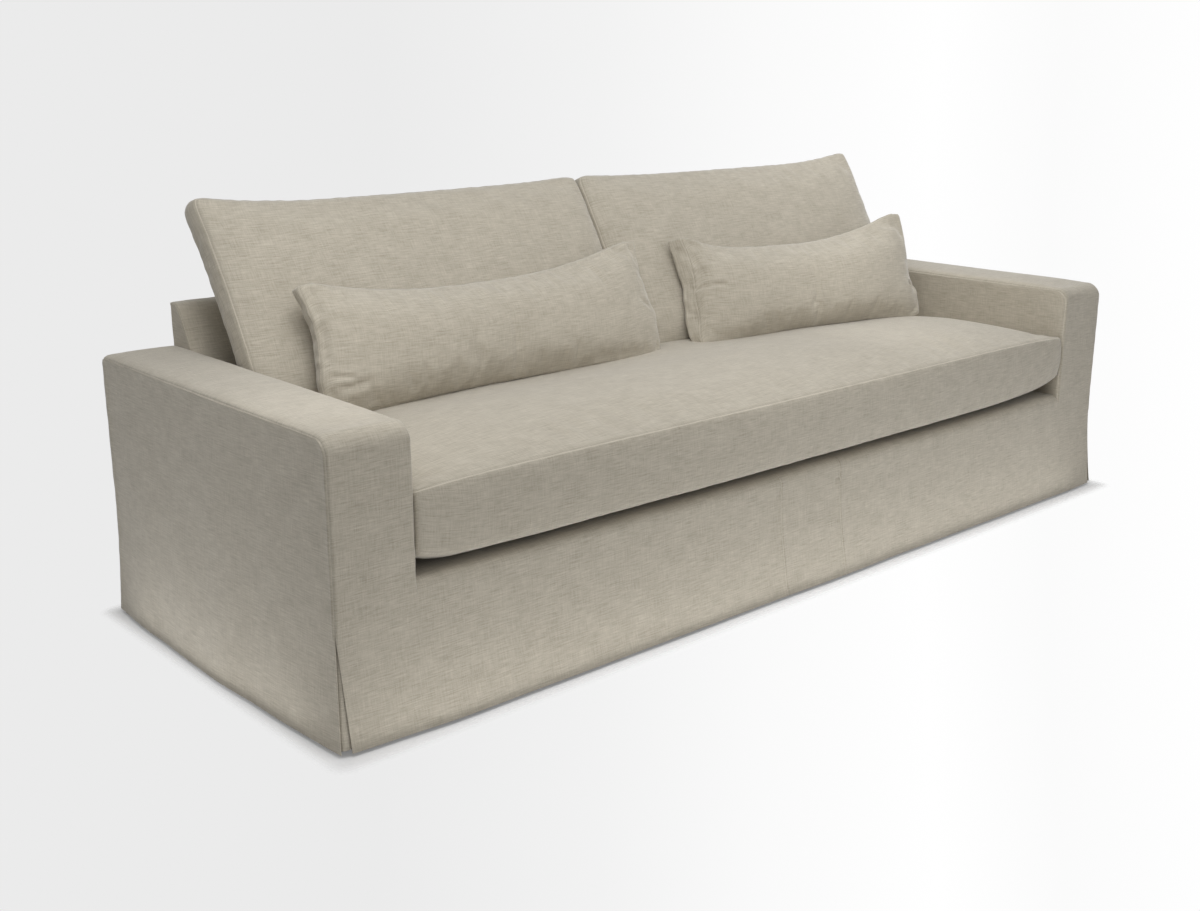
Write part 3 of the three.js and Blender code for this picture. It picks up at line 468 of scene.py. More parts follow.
def arm_strip(way, cell):
    """The panel over the arm's top and down its front, between its outer and inner seams."""
    y, z, ny, nz, turn = arm_path(cell)
    arm_middle = (way * (INNER_HALF + HALF_LENGTH) / 2, *MIDDLE[1:])
    on_front = ny < -0.99
    turn_radius = 2 * turn
    share = np.where(on_front, vent_share(z), 0)
    outer_turn = np.where(on_front, turn * (1 - share) ** 4, turn)
    outer = HALF_LENGTH + flare(z, SIDE_FLARE) - 0.134 * turn_radius - 20 * share
    joined = np.where(on_front, past_roll(z), 1)
    inner_turn = turn * joined
    inner = INNER_HALF + 0.134 * turn_radius * joined
    run = run_along(y, z)
    slack = smooth_step((y - FRONT_ROLL) / 90) * smooth_step((SHELL_REAR - y) / 40)
    top_share = np.where(nz > 0.99, slack, 0)
    shares = stops(HALF_LENGTH - INNER_HALF, cell)

    def place(a, b):
        i = b.astype(int)
        width = outer[i] - inner[i]
        gap = a * width
        reach = 0.866 * turn_radius[i]
        deep = outer_turn[i] * np.clip(1 - gap / reach, 0, 1) ** 2
        deep = deep + inner_turn[i] * np.clip(1 - (width - gap) / reach, 0, 1) ** 2
        deep = deep - 6 * top_share[i] * (1 - np.abs(2 * a - 1) ** 2.4)
        x = way * (outer[i] - gap)
        bow = np.where(on_front[i], front_bow(x, z[i]), 0)
        return x, y[i] - ny[i] * deep - bow, z[i] - nz[i] * deep

    def flat(a, b):
        i = b.astype(int)
        return way * (outer[i] - a * (outer[i] - inner[i])), run[-1] - run[i]

    shift = JOINT_SHIFT if way > 0 else 0
    found = net(place, shares, np.arange(len(y)), "a0 a1 b0", arm_middle, flat, shift)
    joint = found[0].reshape(len(shares), len(y), 3)[:, :, 2]
    seam = found[3].reshape(len(shares), len(y))
    from_inner = (1 - shares)[:, None] * (HALF_LENGTH - INNER_HALF)
    from_outer = shares[:, None] * (HALF_LENGTH - INNER_HALF)
    open_inner = (joint < DECK - DECK_ROLL) & (from_inner < from_outer)
    open_outer = (joint < VENT_TOP) & (from_inner >= from_outer)
    seam[open_inner | open_outer] = UNSEWN
    return found[0], found[1], found[2], seam.reshape(-1)


def arm_side(way, cell, outside):
    """The arm's outer or inner panel, inside the strip's seam."""
    arm_middle = (way * (INNER_HALF + HALF_LENGTH) / 2, *MIDDLE[1:])
    turns = roll_angles(11)
    bite = 4 + 4 * np.cos(turns)
    roll_foot = ARM_TOP - FRONT_ROLL
    front = [(FRONT_ROLL - (FRONT_ROLL - n) * np.sin(t), roll_foot + (FRONT_ROLL - n) * np.cos(t))
             for t, n in zip(turns, bite)]
    for z in face_levels(cell)[1:]:
        if outside:
            edge = 4 + 3 * vent_share(z)
        elif z > INNER_FOOT:
            edge = 4 * past_roll(z)
        else:
            break
        front.append((-flare(z, FRONT_FLARE) + edge, z))
    front = np.array(front)
    rear = np.full(len(front), SHELL_REAR - REAR_EDGE)
    rear[0] = SHELL_REAR - REAR_ROLL
    stations = stops(SHELL_REAR - REAR_ROLL - FRONT_ROLL, cell)

    def place(a, b):
        i = b.astype(int)
        y = front[i, 0] + a * (rear[i] - front[i, 0])
        z = front[i, 1] + 0 * a
        in_roll = (y < FRONT_ROLL) & (z > roll_foot)
        near_top = np.where(z > roll_foot, ARM_TOP - z, 1e3)
        deep = np.where(
            in_roll,
            FRONT_ROLL - np.hypot(y - FRONT_ROLL, z - roll_foot),
            np.minimum(near_top, y + flare(z, FRONT_FLARE)),
        )
        turned = (z - roll_foot) / np.maximum(1e-6, np.hypot(y - FRONT_ROLL, z - roll_foot))
        radius = np.where(in_roll, 8 + 8 * turned, np.where(z > roll_foot, 16, 8))
        if outside:
            radius = radius * (1 - 0.9 * smooth_step((VENT_TOP + 20 - z) / 40))
        else:
            radius = radius * past_roll(z)
        curl = radius - np.sqrt(np.maximum(0, radius**2 - np.maximum(0, radius - deep) ** 2))
        if outside:
            return way * (HALF_LENGTH + flare(z, SIDE_FLARE) + side_bow(y, z) - curl), y, z
        return way * (INNER_HALF + curl), y, z

    sewn_edges = "a0 a1 b0" if outside else "a0 b0"
    shift = 2.31 + way * (0.4 if outside else 0.9)
    found = net(
        place, stations, np.arange(len(front)), sewn_edges, arm_middle, shift=shift
    )
    if outside:
        seam = found[3].reshape(len(stations), len(front))
        seam[(front[None, :, 1] < VENT_TOP) & (stations[:, None] < 0.5)] = UNSEWN
        found = (*found[:3], seam.reshape(-1))
    return found


def deck_path(cell):
    """The deck's middle line in y and z, from the back's foot over the front roll to the hem."""
    flat_run = BACK_FOOT - DECK_ROLL
    rows = [(BACK_FOOT - flat_run * share, DECK, 0, 1) for share in stops(flat_run, cell, ())]
    rows += roll(DECK_ROLL, DECK - DECK_ROLL, DECK_ROLL, roll_angles(7)[1:])
    drop = DECK - DECK_ROLL - HEM
    rows += [(-flare(z, FRONT_FLARE), z, -1, 0)
             for z in DECK - DECK_ROLL - drop * stops(drop, cell, (1,))[1:]]
    return np.array(rows).T


def deck_panel(x_from, x_to, cell, seams, shift=0.0):
    y, z, ny, nz = deck_path(cell)
    run = run_along(y, z)
    shares = stops(x_to - x_from, cell, [int(edge[1]) for edge in seams.split()])

    def place(a, b):
        i = b.astype(int)
        x = x_from + (x_to - x_from) * a
        return x, y[i] - front_bow(x, z[i]), z[i]

    def flat(a, b):
        return x_from + (x_to - x_from) * a, run[-1] - run[b.astype(int)]

    found = net(place, shares, np.arange(len(y)), seams, (0, 464, 0), flat, shift)
    low_enough = found[0][:, 2] < DECK - 0.5
    return (*found[:3], np.where(low_enough, found[3], UNSEWN))


def back_path(cell, foot):
    """The inner back in y and z, up its leaning face and over the top roll to the rear edge."""
    lean = BACK_LEAN
    centre_z = BACK_TOP - BACK_ROLL
    centre_y = BACK_FOOT + (math.sin(lean) * (centre_z - LEAN_HEIGHT) + BACK_ROLL) / math.cos(lean)
    rise = LEAN_HEIGHT - foot
    rows = [(BACK_FOOT, foot + rise * share, -1, 0) for share in stops(rise, cell, ())[:-1]]
    start_y = centre_y - BACK_ROLL * math.cos(lean)
    start_z = centre_z + BACK_ROLL * math.sin(lean)
    run = math.hypot(start_y - BACK_FOOT, start_z - LEAN_HEIGHT)
    rows += [(BACK_FOOT + (start_y - BACK_FOOT) * s, LEAN_HEIGHT + (start_z - LEAN_HEIGHT) * s,
              -math.cos(lean), math.sin(lean)) for s in stops(run, cell, ())[:-1]]
    for t in np.linspace(lean, math.pi / 2, 8):
        sin, cos = math.sin(t), math.cos(t)
        rows.append((centre_y - BACK_ROLL * cos, centre_z + BACK_ROLL * sin, -cos, sin))
    last = SHELL_REAR - 4
    top_run = last - centre_y
    rows += [(centre_y + top_run * s, BACK_TOP, 0, 1) for s in stops(top_run, cell, (1,))[1:]]
    rows += roll(last, BACK_TOP - 4, 4, -np.linspace(0, math.pi / 3, 4)[1:])
    return np.array(rows).T


def inner_back_panel(cell, foot):
    y, z, ny, nz = back_path(cell, foot)
    free = smooth_step((z - ARM_TOP + 14) / 6)
    half = INNER_HALF - 0.6 + (END_OUT + 0.6) * free
    shares = stops(2 * INNER_HALF, cell)

    def place(a, b):
        i = b.astype(int)
        x = (2 * a - 1) * half[i]
        gap = half[i] - np.abs(x)
        deep = 3.5 * free[i] * np.clip(1 - gap / 6, 0, 1) ** 2
        return x, y[i] - ny[i] * deep, z[i] - nz[i] * deep

    found = net(place, shares, np.arange(len(y)), "a0 a1 b1", (0, 1100, 400))
    return (*found[:3], np.where(found[0][:, 2] > ARM_TOP - 4, found[3], UNSEWN))


def back_end(way, cell, foot):
    """The boxed end of the back above the arm."""
    y, z, ny, nz = back_path(cell, foot)
    upright = (z >= ARM_TOP - 16) & (ny < 0)
    edge = np.stack([y - 3.5 * ny, z - 3.5 * nz], -1)[upright]
    rear = SHELL_REAR - 3

    def place(a, b):
        i = b.astype(int)
        depth = edge[i, 0] + a * (rear - edge[i, 0])
        height = edge[i, 1]
        near = np.minimum(a * (rear - edge[i, 0]), BACK_TOP - 3.5 - height)
        return way * (INNER_HALF + END_OUT - 0.8 * np.clip(1 - near / 5, 0, 1) ** 2), depth, height

    return net(place, stops(110, cell), np.arange(len(edge)), "a0 a1 b1", (0, 860, 650))


def outer_back_panels(cell):
    """The flat outside back, with its edges turned forward to the panels that it is sewn to."""
    rim = 5.0
    plane = SHELL_REAR + 1.3
    narrow = INNER_HALF + END_OUT
    found = []
    levels = stops(BACK_TOP - HEM, cell, (0, 1))
    split = (ARM_TOP - REAR_ROLL - HEM) / (BACK_TOP - HEM)
    levels = np.sort(np.append(levels, split))
    low_levels = levels[levels <= split]

    def roll_in(gap):
        return rim - np.sqrt(np.maximum(0, rim**2 - np.maximum(0, rim - gap) ** 2))

    def centre(a, b):
        x = (2 * a - 1) * narrow
        z = HEM + (BACK_TOP - HEM) * b
        gap = np.where(z > ARM_TOP - REAR_ROLL, np.minimum(narrow - np.abs(x), BACK_TOP - z), 99)
        gap = np.minimum(gap, BACK_TOP - z)
        return x, plane - roll_in(gap) + flare(z, 2), z

    found.append(net(centre, stops(2 * narrow, cell), levels, "b1"))
    for way in (-1, 1):
        def side(a, b):
            z = HEM + (BACK_TOP - HEM) * b
            outer = HALF_LENGTH + flare(z, SIDE_FLARE)
            x = narrow + (outer - narrow) * a
            gap = np.minimum(outer - x, ARM_TOP - REAR_ROLL + 2 - z)
            return way * x, plane - roll_in(gap) + flare(z, 2), z

        found.append(net(side, stops(HALF_LENGTH - narrow, cell, (1,)), low_levels, "a1 b1"))
    return found


# The paddings lie under the cover. Their foam is drawn with open cells 1.2 mm across.
foam, shader = new_finish("cut_polyurethane_foam", Roughness=0.95)
place = add_node(foam, "TexCoord").outputs["Object"]
cells = add_node(foam, "TexVoronoi", {"Vector": place, "Scale": 1000 / 1.2})
yellowing = add_node(foam, "TexNoise", {"Vector": place, "Scale": 1000 / 160, "Detail": 2})
colours = {0: yellowing, 6: linear("#f0ead6"), 7: linear("#e0d5b2")}
aged = add_node(foam, "Mix", colours, data_type="RGBA")
colours = {0: cells, 6: aged.outputs[2], 7: linear("#cfc5a6")}
colour = add_node(foam, "Mix", colours, data_type="RGBA")
wire(foam, colour.outputs[2], shader, "Base Color")
bump = add_node(foam, "Bump", {"Height": cells, "Strength": 0.4, "Distance": 0.0006})
wire(foam, bump, shader, "Normal")

SIDES = ((-1, "left"), (1, "right"))
PAD_CELL = 26
PAD_DEPTH = 9  # mm from the cover's face to the foam


def arm_nets(way, cell):
    return [arm_strip(way, cell), arm_side(way, cell, True), arm_side(way, cell, False)]


def above(cut, level):
    """A net without the cells that reach below a level."""
    points, quads, cloth, seam = cut
    return points, quads[points[quads][:, :, 2].min(1) > level], cloth, seam


def pad(name, nets, thickness, node):
    """Foam under a cover, with the cover's form."""
    piece = sewn(name, nets)
    points, normals, _ = points_of(piece)
    reshape_piece(piece, points - normals * PAD_DEPTH)
    thicken(piece, thickness)
    finish_piece(piece, foam, "foam", "frame", node)


for way, side in SIDES:
    nets = [above(cut, DECK - 10) for cut in arm_nets(way, PAD_CELL)]
    pad(f"arm_foam_{side}", nets, 8, f"arm_padding_{side}")
deck_net = deck_panel(-INNER_HALF + 3, INNER_HALF - 3, PAD_CELL, "")
pad("deck_foam", [above(deck_net, DECK - 50)], 10, "deck_padding")
pad("back_foam", [inner_back_panel(PAD_CELL, 310)], 6, "back_padding")

# Slipcover. Washed linen of a heavy plain weave, cut in panels and sewn inside out, then pulled
# over the padded frame: matt, with uneven threads that run in short darker and lighter streaks.
COVER_CELL = 9


def woven(name, painted_ridge_light):
    """Plain woven linen. Real threads are 0.7 mm apart, too fine to show, so the uneven ones are
    drawn 2.2 mm wide. A painted highlight lightens the colour on each seam's ridge, and a painted
    shade darkens it from 2.5 to 8 mm off the seam."""
    material, shader = new_finish(
        name, Roughness=0.88, Sheen_Weight=0.45, Sheen_Roughness=0.42, Specular_IOR_Level=0.25
    )
    shader.inputs["Sheen Tint"].default_value = linear("#ffffff")
    cloth = add_node(material, "UVMap", uv_map="cloth")
    kinds = (
        ("weft", (34, 2.2), 2, 0.68),
        ("warp", (2.2, 26), 2, 0.38),
        ("weft_slub", (75, 3.0), 1, 0.34),
        ("warp_slub", (3.0, 60), 1, 0.22),
        ("mottle", (60, 45), 2, 0.28),
        ("grain", (1.5, 1.5), 2, 0.36),
    )
    threads = {}
    total = 0.5 - 0.5 * sum(amount for *_, amount in kinds)
    for kind, size, detail, amount in kinds:
        scale = (1000 / size[0], 1000 / size[1], 1)
        scaled = add_node(material, "Mapping", {"Vector": cloth, "Scale": scale})
        inputs = {"Vector": scaled, "Scale": 1, "Detail": detail, "Roughness": 0.55}
        threads[kind] = add_node(material, "TexNoise", inputs, noise_dimensions="2D")
        inputs = {0: threads[kind], 1: amount, 2: total}
        total = add_node(material, "Math", inputs, operation="MULTIPLY_ADD")
    seam = add_node(material, "Attribute", attribute_name="seam").outputs["Fac"]
    # Painted highlight: the colour is lightened on a seam's ridge, fading out 2.6 mm off it.
    ridge = add_node(material, "MapRange", {0: seam, 1: 0.4, 2: 2.6, 3: painted_ridge_light, 4: 0})
    # Painted shade: the colour is darkened from 2.5 to 8 mm off a seam.
    shade = add_node(material, "MapRange", {0: seam, 1: 2.5, 2: 8, 3: -0.12, 4: 0})
    for part in (ridge, shade):
        total = add_node(material, "Math", {0: total, 1: part}, operation="ADD")
    colours = {0: total, 6: linear("#968e7f"), 7: linear("#cdc6b7")}
    colour = add_node(material, "Mix", colours, data_type="RGBA")
    wire(material, colour.outputs[2], shader, "Base Color")
    relief = {0: threads["weft"], 1: threads["warp"]}
    relief = add_node(material, "Math", relief, operation="ADD")
    bump = add_node(material, "Bump", {"Height": relief, "Strength": 0.5, "Distance": 0.0007})
    wire(material, bump, shader, "Normal")
    return material


# 0.28 is the strength of the painted highlight along the seams.
linen = woven("washed_linen", 0.28)


def seam_relief(seam):
    """The groove of a seam and the low ridge of its allowance beside it, in mm."""
    return -1.3 * np.exp(-((seam / 1.3) ** 2)) + 0.9 * np.exp(-(((seam - 4) / 3) ** 2))


def crease(points, start, end, depth, width):
    """A fold along a line from start to end, in mm: a groove with a low rise on each side."""
    start, end = np.array(start, float), np.array(end, float)
    line = end - start
    share = np.clip(((points - start) @ line) / (line @ line), 0, 1)
    away = np.linalg.norm(points - (start + share[:, None] * line), axis=1)
    fade = np.minimum(1, 4 * np.minimum(share + 0.02, 1.02 - share))
    groove = np.exp(-((away / width) ** 2))
    rise = 0.45 * np.exp(-(((away - 2 * width) / width) ** 2))
    return depth * fade * (rise - groove)


def soften(piece, swell=1.6, pucker=0.8, seed=0.0, extra=None):
    """Puts the seams' relief, their puckers and the slow unevenness of padding into a cover."""
    points, normals, seam = points_of(piece)
    lift = seam_relief(seam)
    lift = lift + swell * ripple(points, 190, seed) * np.clip(seam / 25, 0.15, 1)
    lift = lift + pucker * ripple(points, 24, seed + 7) * np.exp(-seam / 16)
    if extra is not None:
        lift = lift + extra(points)
    reshape_piece(piece, points + normals * lift[:, None])


CLOTH_THICKNESS = 1.6


def slipcover(name, nets, node, swell, seed, extra=None):
    """A sewn cover with its seams, its padding's unevenness and its thickness."""
    piece = sewn(name, nets)
    soften(piece, swell=swell, seed=seed, extra=extra)
    thicken(piece, CLOTH_THICKNESS)
    finish_piece(piece, linen, "linen", "frame", node)
    return piece


for way, side in SIDES:
    arm_cover = slipcover(
        f"arm_slipcover_{side}", arm_nets(way, COVER_CELL), f"arm_cover_{side}", 1.3, 5.0
    )

DECK_SEAMS = (-87, 130)  # mm, where the widths of cloth are joined


def tucks(points):
    """Where each seam meets the deck's front edge, the cloth is caught in a slanting fold."""
    lift = np.zeros(len(points))
    for x in DECK_SEAMS:
        lift += crease(points, (x + 2, -2, 262), (x - 22, -2, 240), 3.2, 5)
        lift += crease(points, (x + 3, -2, 250), (x + 7, -2, 205), 1.6, 5)
    return lift


left, right = DECK_SEAMS
deck_nets = [
    deck_panel(-INNER_HALF, left, COVER_CELL, "a1"),
    deck_panel(left, right, COVER_CELL, "a0 a1", JOINT_SHIFT / 2),
    deck_panel(right, INNER_HALF, COVER_CELL, "a0", JOINT_SHIFT),
]
deck_cover = slipcover("deck_slipcover", deck_nets, "deck_cover", 1.3, 5.0, tucks)

back_foot = DECK + 2
back_nets = [inner_back_panel(COVER_CELL, back_foot)]
back_nets += [back_end(way, COVER_CELL, back_foot) for way, _ in SIDES]
inner_back = slipcover("inner_back_slipcover", back_nets, "inner_back_cover", 1.0, 8.0)

outer_nets = outer_back_panels(COVER_CELL)
outer_back = slipcover("outer_back_slipcover", outer_nets, "outer_back_cover", 1.0, 11.0)

# Vent underlaps. A strip of the same linen behind each front corner's slit, sewn in at its top and
# bent round the corner, with its hem a little higher than the skirt's.
LAP, LAP_BEND = 70, 9.0
LAP_HEM, LAP_TOP = HEM + 6, 248
UNDER = 3.4  # mm from the cover's face back to the underlap
for way, side in SIDES:

    def underlap(a, b, way=way):
        z = LAP_HEM + (LAP_TOP - LAP_HEM) * b
        side_x = HALF_LENGTH + flare(z, SIDE_FLARE) - UNDER
        front_y = -flare(z, FRONT_FLARE) + UNDER + 2 * vent_share(z)
        along_run = (2 * a - 1) * LAP
        turn = np.clip(along_run / LAP_BEND, -1, 1) * np.pi / 4 + np.pi / 4
        past_front = np.maximum(0, along_run - LAP_BEND)
        past_side = np.maximum(0, -along_run - LAP_BEND)
        x = side_x - LAP_BEND * (1 - np.cos(turn)) - past_front
        y = front_y + LAP_BEND * (1 - np.sin(turn)) + past_side
        return way * x, y, z

    shares = stops(2 * LAP, 5, (0.5,)), stops(240, 9, (0,))
    flap = sewn(f"vent_flap_{side}", [net(underlap, *shares, "", (way * 1200, 120, 120))])
    thicken(flap, CLOTH_THICKNESS)
    finish_piece(flap, linen, "linen", "frame", f"vent_underlap_{side}")

# Seat cushion. One boxed bench cushion of the same linen over a foam core wrapped in fibre: a full
# top that falls off at the seams, a bowed front and front lower corners that the core draws up.
SEAT_SEAM = 484
SEAT_HALF = 1117
SEAT_FRONT = 3
SEAT_REAR = 776.0
SEAT_BOTTOM = 300.3
SEAT_SIZE = (2 * SEAT_HALF, SEAT_REAR - SEAT_FRONT, 170)
SEAT_MIDDLE = (0, 390, 400)
# The cushions' linen differs only by a stronger painted highlight along its seams, 0.5.
cushion_linen = woven("washed_linen_cushions", 0.5)


def seat_top(a, depth):
    """The top's height: a crown that rises over a third of the depth and sinks behind."""
    risen, worn_from = 0.36, 0.86
    crown = 40 * (1 - (1 - np.clip(depth / risen, 0, 1)) ** 2.6)
    crown = crown - 19 * smooth_step((depth - risen) / 0.3)
    crown = crown - 21 * smooth_step((depth - worn_from) / (1 - worn_from))
    dip = 26 * a**8 * (1 - 0.6 * (1 - depth) ** 10)
    return SEAT_SEAM + crown * np.maximum(0, 1 - np.abs(a) ** 6) ** 0.75 - dip


def seat_form(a, b, h, inset=0):
    depth = (b + 1) / 2
    top = seat_top(a, depth)
    corner = np.abs(a * b) ** 18
    edge_rise = 27 * np.maximum(np.abs(a) ** 20, np.abs(b) ** 9)
    drawn_up = np.where(a < 0, 27 * np.abs(a) ** 13, 34 * np.abs(a) ** 7) * np.abs(b) ** 8
    bottom = SEAT_BOTTOM + edge_rise + drawn_up
    bow = -12 * (1 - a**2) * (1 - depth) ** 4
    swell = 7 * (1 - h**2)
    x = a * SEAT_HALF - np.sign(a) * (2 * corner + inset)
    y = SEAT_FRONT + (SEAT_REAR - SEAT_FRONT) * depth + bow - np.sign(b) * (2 * corner + inset)
    y = y - np.where(b == -1, swell, 0)
    return x, y, bottom + inset + (top - bottom - 2 * inset) * (h + 1) / 2


def boxed(form, length, width, height, cell, inside, fine=(), fine_side=()):
    """A cushion's two faces and its boxing, from a form over -1 to 1 each way."""
    a = 2 * stops(length, cell, ()) - 1
    b = 2 * stops(width, cell, fine) - 1
    h = 2 * stops(height, cell, fine_side) - 1

    def ones(u):
        return np.ones_like(u)

    panels = [
        (lambda u, v: form(u, v, ones(u)), a, b, "a0 a1 b0 b1"),
        (lambda u, v: form(u, v, -ones(u)), a, b, "a0 a1 b0 b1"),
        (lambda u, v: form(u, -ones(u), v), a, h, "b0 b1"),
        (lambda u, v: form(u, ones(u), v), a, h, "b0 b1"),
        (lambda u, v: form(-ones(u), u, v), b, h, "b0 b1"),
        (lambda u, v: form(ones(u), u, v), b, h, "b0 b1"),
    ]
    start = inside[0] / 310
    return [net(*panel, inside, shift=start + 0.371 * i) for i, panel in enumerate(panels)]


FILL_STEPS = 20


def fill(piece, pressure, slack, cap, limits=None):
    """Presses a sewn cover out from inside, as its filling does, by a cloth simulation that keeps
    its seams where they are. slack is the share by which the cloth is cut too large, and no point
    moves further than cap, in mm. limits gives a share of that cap for each point and normal."""
    start, normals, seam = points_of(piece)
    group = piece.vertex_groups.new(name="seams")
    group.add(np.flatnonzero(seam < 0.5).tolist(), 1.0, "REPLACE")
    cloth = piece.modifiers.new("filling", "CLOTH")
    cloth.settings.quality = 6
    cloth.settings.mass = 0.25
    cloth.settings.tension_stiffness = 12
    cloth.settings.compression_stiffness = 12
    cloth.settings.shear_stiffness = 4
    cloth.settings.bending_stiffness = 0.35
    cloth.settings.use_pressure = True
    cloth.settings.uniform_pressure_force = pressure
    cloth.settings.shrink_min = -slack
    cloth.settings.vertex_group_mass = "seams"
    cloth.settings.effector_weights.gravity = 0
    cloth.point_cache.frame_start = 1
    cloth.point_cache.frame_end = FILL_STEPS
    for step in range(1, FILL_STEPS + 1):
        bpy.context.scene.frame_set(step)
    pressed = piece.evaluated_get(bpy.context.evaluated_depsgraph_get()).to_mesh()
    points = read(pressed.vertices, "co") * 1000 + ORIGIN
    piece.modifiers.remove(cloth)
    piece.vertex_groups.remove(group)
    bpy.context.scene.frame_set(1)
    moved = points - start
    far = np.linalg.norm(moved, axis=1, keepdims=True)
    most = cap if limits is None else cap * limits(start, normals)[:, None]
    moved *= most * np.tanh(far / most) / np.maximum(far, 1e-6)
    reshape_piece(piece, start + moved)


def subdivide(piece):
    """One smooth subdivision, applied."""
    step = piece.modifiers.new("finer", "SUBSURF")
    step.levels = step.render_levels = 1
    finer = bpy.data.meshes.new_from_object(
        piece.evaluated_get(bpy.context.evaluated_depsgraph_get())
    )
    piece.modifiers.remove(step)
    piece.data = finer
    finer.name = piece.name


def cushion(name, nets, pressure, slack, cap, limits=None, settle=None, **softening):
    """A filled and sewn cover."""
    piece = sewn(name, nets)
    fill(piece, pressure, slack, cap, limits)
    subdivide(piece)
    soften(piece, **softening)
    if settle is not None:
        reshape_piece(piece, settle(points_of(piece)[0]))
    return piece


TAPE_HALF = 12
GROOVE_HALF = 24
GROOVE_DEPTH = 1.6
ZIPS = {}


def zip_place(name, origin, along, out, length):
    """Notes a zip's middle on its tape's face, its direction, its outward way and its length."""
    along, out = np.array(along, float), np.array(out, float)
    ZIPS[name] = (np.array(origin, float), np.stack([along, np.cross(out, along), out]), length)


def zip_groove(points, name):
    """Sinks the cloth to a zip's tape."""
    origin, axes, length = ZIPS[name]
    x, y, z = ((points - origin) @ axes.T).T
    past = np.maximum(np.abs(y) - TAPE_HALF, np.abs(x) - length / 2 - 2)
    share = 1 - smooth_step(past / (GROOVE_HALF - TAPE_HALF))
    share = np.where(np.abs(z) < 25, share, 0)
    return points + ((-GROOVE_DEPTH - z) * share)[:, None] * axes[2]


zip_place("seat_zip", (0, 767, 392.15), (-1, 0, 0), (0, 1, 0), 1500)


def seat_settled(points):
    """Keeps the cushion between the arms and on the deck, and sinks its zip."""
    points = np.clip(points, (-SEAT_HALF - 2, -99, 300.4), (SEAT_HALF + 2, 778, 999))
    return zip_groove(points, "seat_zip")


seat = cushion(
    "seat_cushion_linen",
    boxed(seat_form, *SEAT_SIZE, 14, SEAT_MIDDLE, fine_side=(0.36, 0.64)),
    pressure=3,
    slack=0.005,
    cap=4,
    limits=lambda points, normals: np.where(points[:, 2] < 470, 0.4, 1),
    settle=seat_settled,
    swell=2.2,
    pucker=0.8,
    seed=21.0,
)
# Below 400 mm the seam distances that the material reads are raised by 2.4 mm. The bottom seams
# lose their painted highlight, and their painted shade comes closer to them.
height, from_seam = points_of(seat)[0][:, 2], points_of(seat)[2]
seam_for_painted_light = np.where(height < 400, from_seam + 2.4, from_seam)
seat.data.attributes["seam"].data.foreach_set("value", seam_for_painted_light)
finish_piece(seat, cushion_linen, "linen", "seat_cushion", "seat_cushion_cover")


def insert(name, nets, material, slot, body, node):
    """What fills a cover: its form, a little smaller."""
    piece = sewn(name, nets)
    finish_piece(piece, material, slot, body, node)


def smaller(form, inset):
    return lambda a, b, h: form(a, b, h, inset)


seat_nets = boxed(smaller(seat_form, 9), *SEAT_SIZE, 30, SEAT_MIDDLE)
insert("seat_core_foam", seat_nets, foam, "foam", "seat_cushion", "seat_cushion_core")

# Back cushions. Two boxed cushions filled with fibre, which lean on the raked back and stand
# higher than it: full behind, with ears at their top corners and a soft, slightly slack front.
fibre = mottled(
    "polyester_fibre_in_ticking",
    "#dedad0",
    "#f6f4ef",
    (2, 2),
    3,
    relief=(0.4, 0.5),
    Roughness=0.95,
    Sheen_Weight=0.3,
)

LEAN_BASE = 500
BACK_PLANE = 589.97
BACK_LENGTH = 1113
BACK_GAP = 8  # mm between the back cushions
BACK_TURN = math.radians(1.1)


def bulge(a, b, power, fullness):
    """From 1 in the middle of a face to nothing at its seams."""
    return np.maximum(0, (1 - np.abs(a) ** power) * (1 - np.abs(b) ** power)) ** fullness


def leaning(local, origin, lean, yaw):
    """Points of a leaning cushion, given across it, up its lean and out of its front, in mm."""
    x, up, out = local
    tilt = math.pi / 2 - lean
    y = up * math.cos(tilt) - out * math.sin(tilt)
    z = up * math.sin(tilt) + out * math.cos(tilt)
    return (
        origin[0] + x * math.cos(yaw) - y * math.sin(yaw),
        origin[1] + x * math.sin(yaw) + y * math.cos(yaw),
        origin[2] + z,
    )


def rested(x, y, z, gap):
    """Points lifted to the seat's top, where the cushion presses on it."""
    depth = np.clip((y - SEAT_FRONT) / (SEAT_REAR - SEAT_FRONT), 0, 1)
    a = np.clip(x / SEAT_HALF, -1, 1)
    return x, y, np.maximum(z, seat_top(a, depth) + gap)


def settled(points):
    """A cushion's points, kept above the seat."""
    return np.stack(rested(*points.T, 1.0), -1)


def back_cushion_place(outward):
    """Where a back cushion stands: its origin, lean and slight turn outwards."""
    origin = (outward * (BACK_LENGTH + BACK_GAP) / 2, BACK_PLANE, LEAN_BASE)
    return origin, BACK_LEAN, -outward * BACK_TURN


BACK_FOOT_DIP = 14  # mm, how far a cushion's foot is pressed below the lean's base
FULL_FRONT, FULL_REAR = 32, 118  # mm, how far a back cushion's faces swell
BOXING = 60  # mm, the width of the strip between its two faces
BACK_SIZE = (BACK_LENGTH, 510, BOXING)


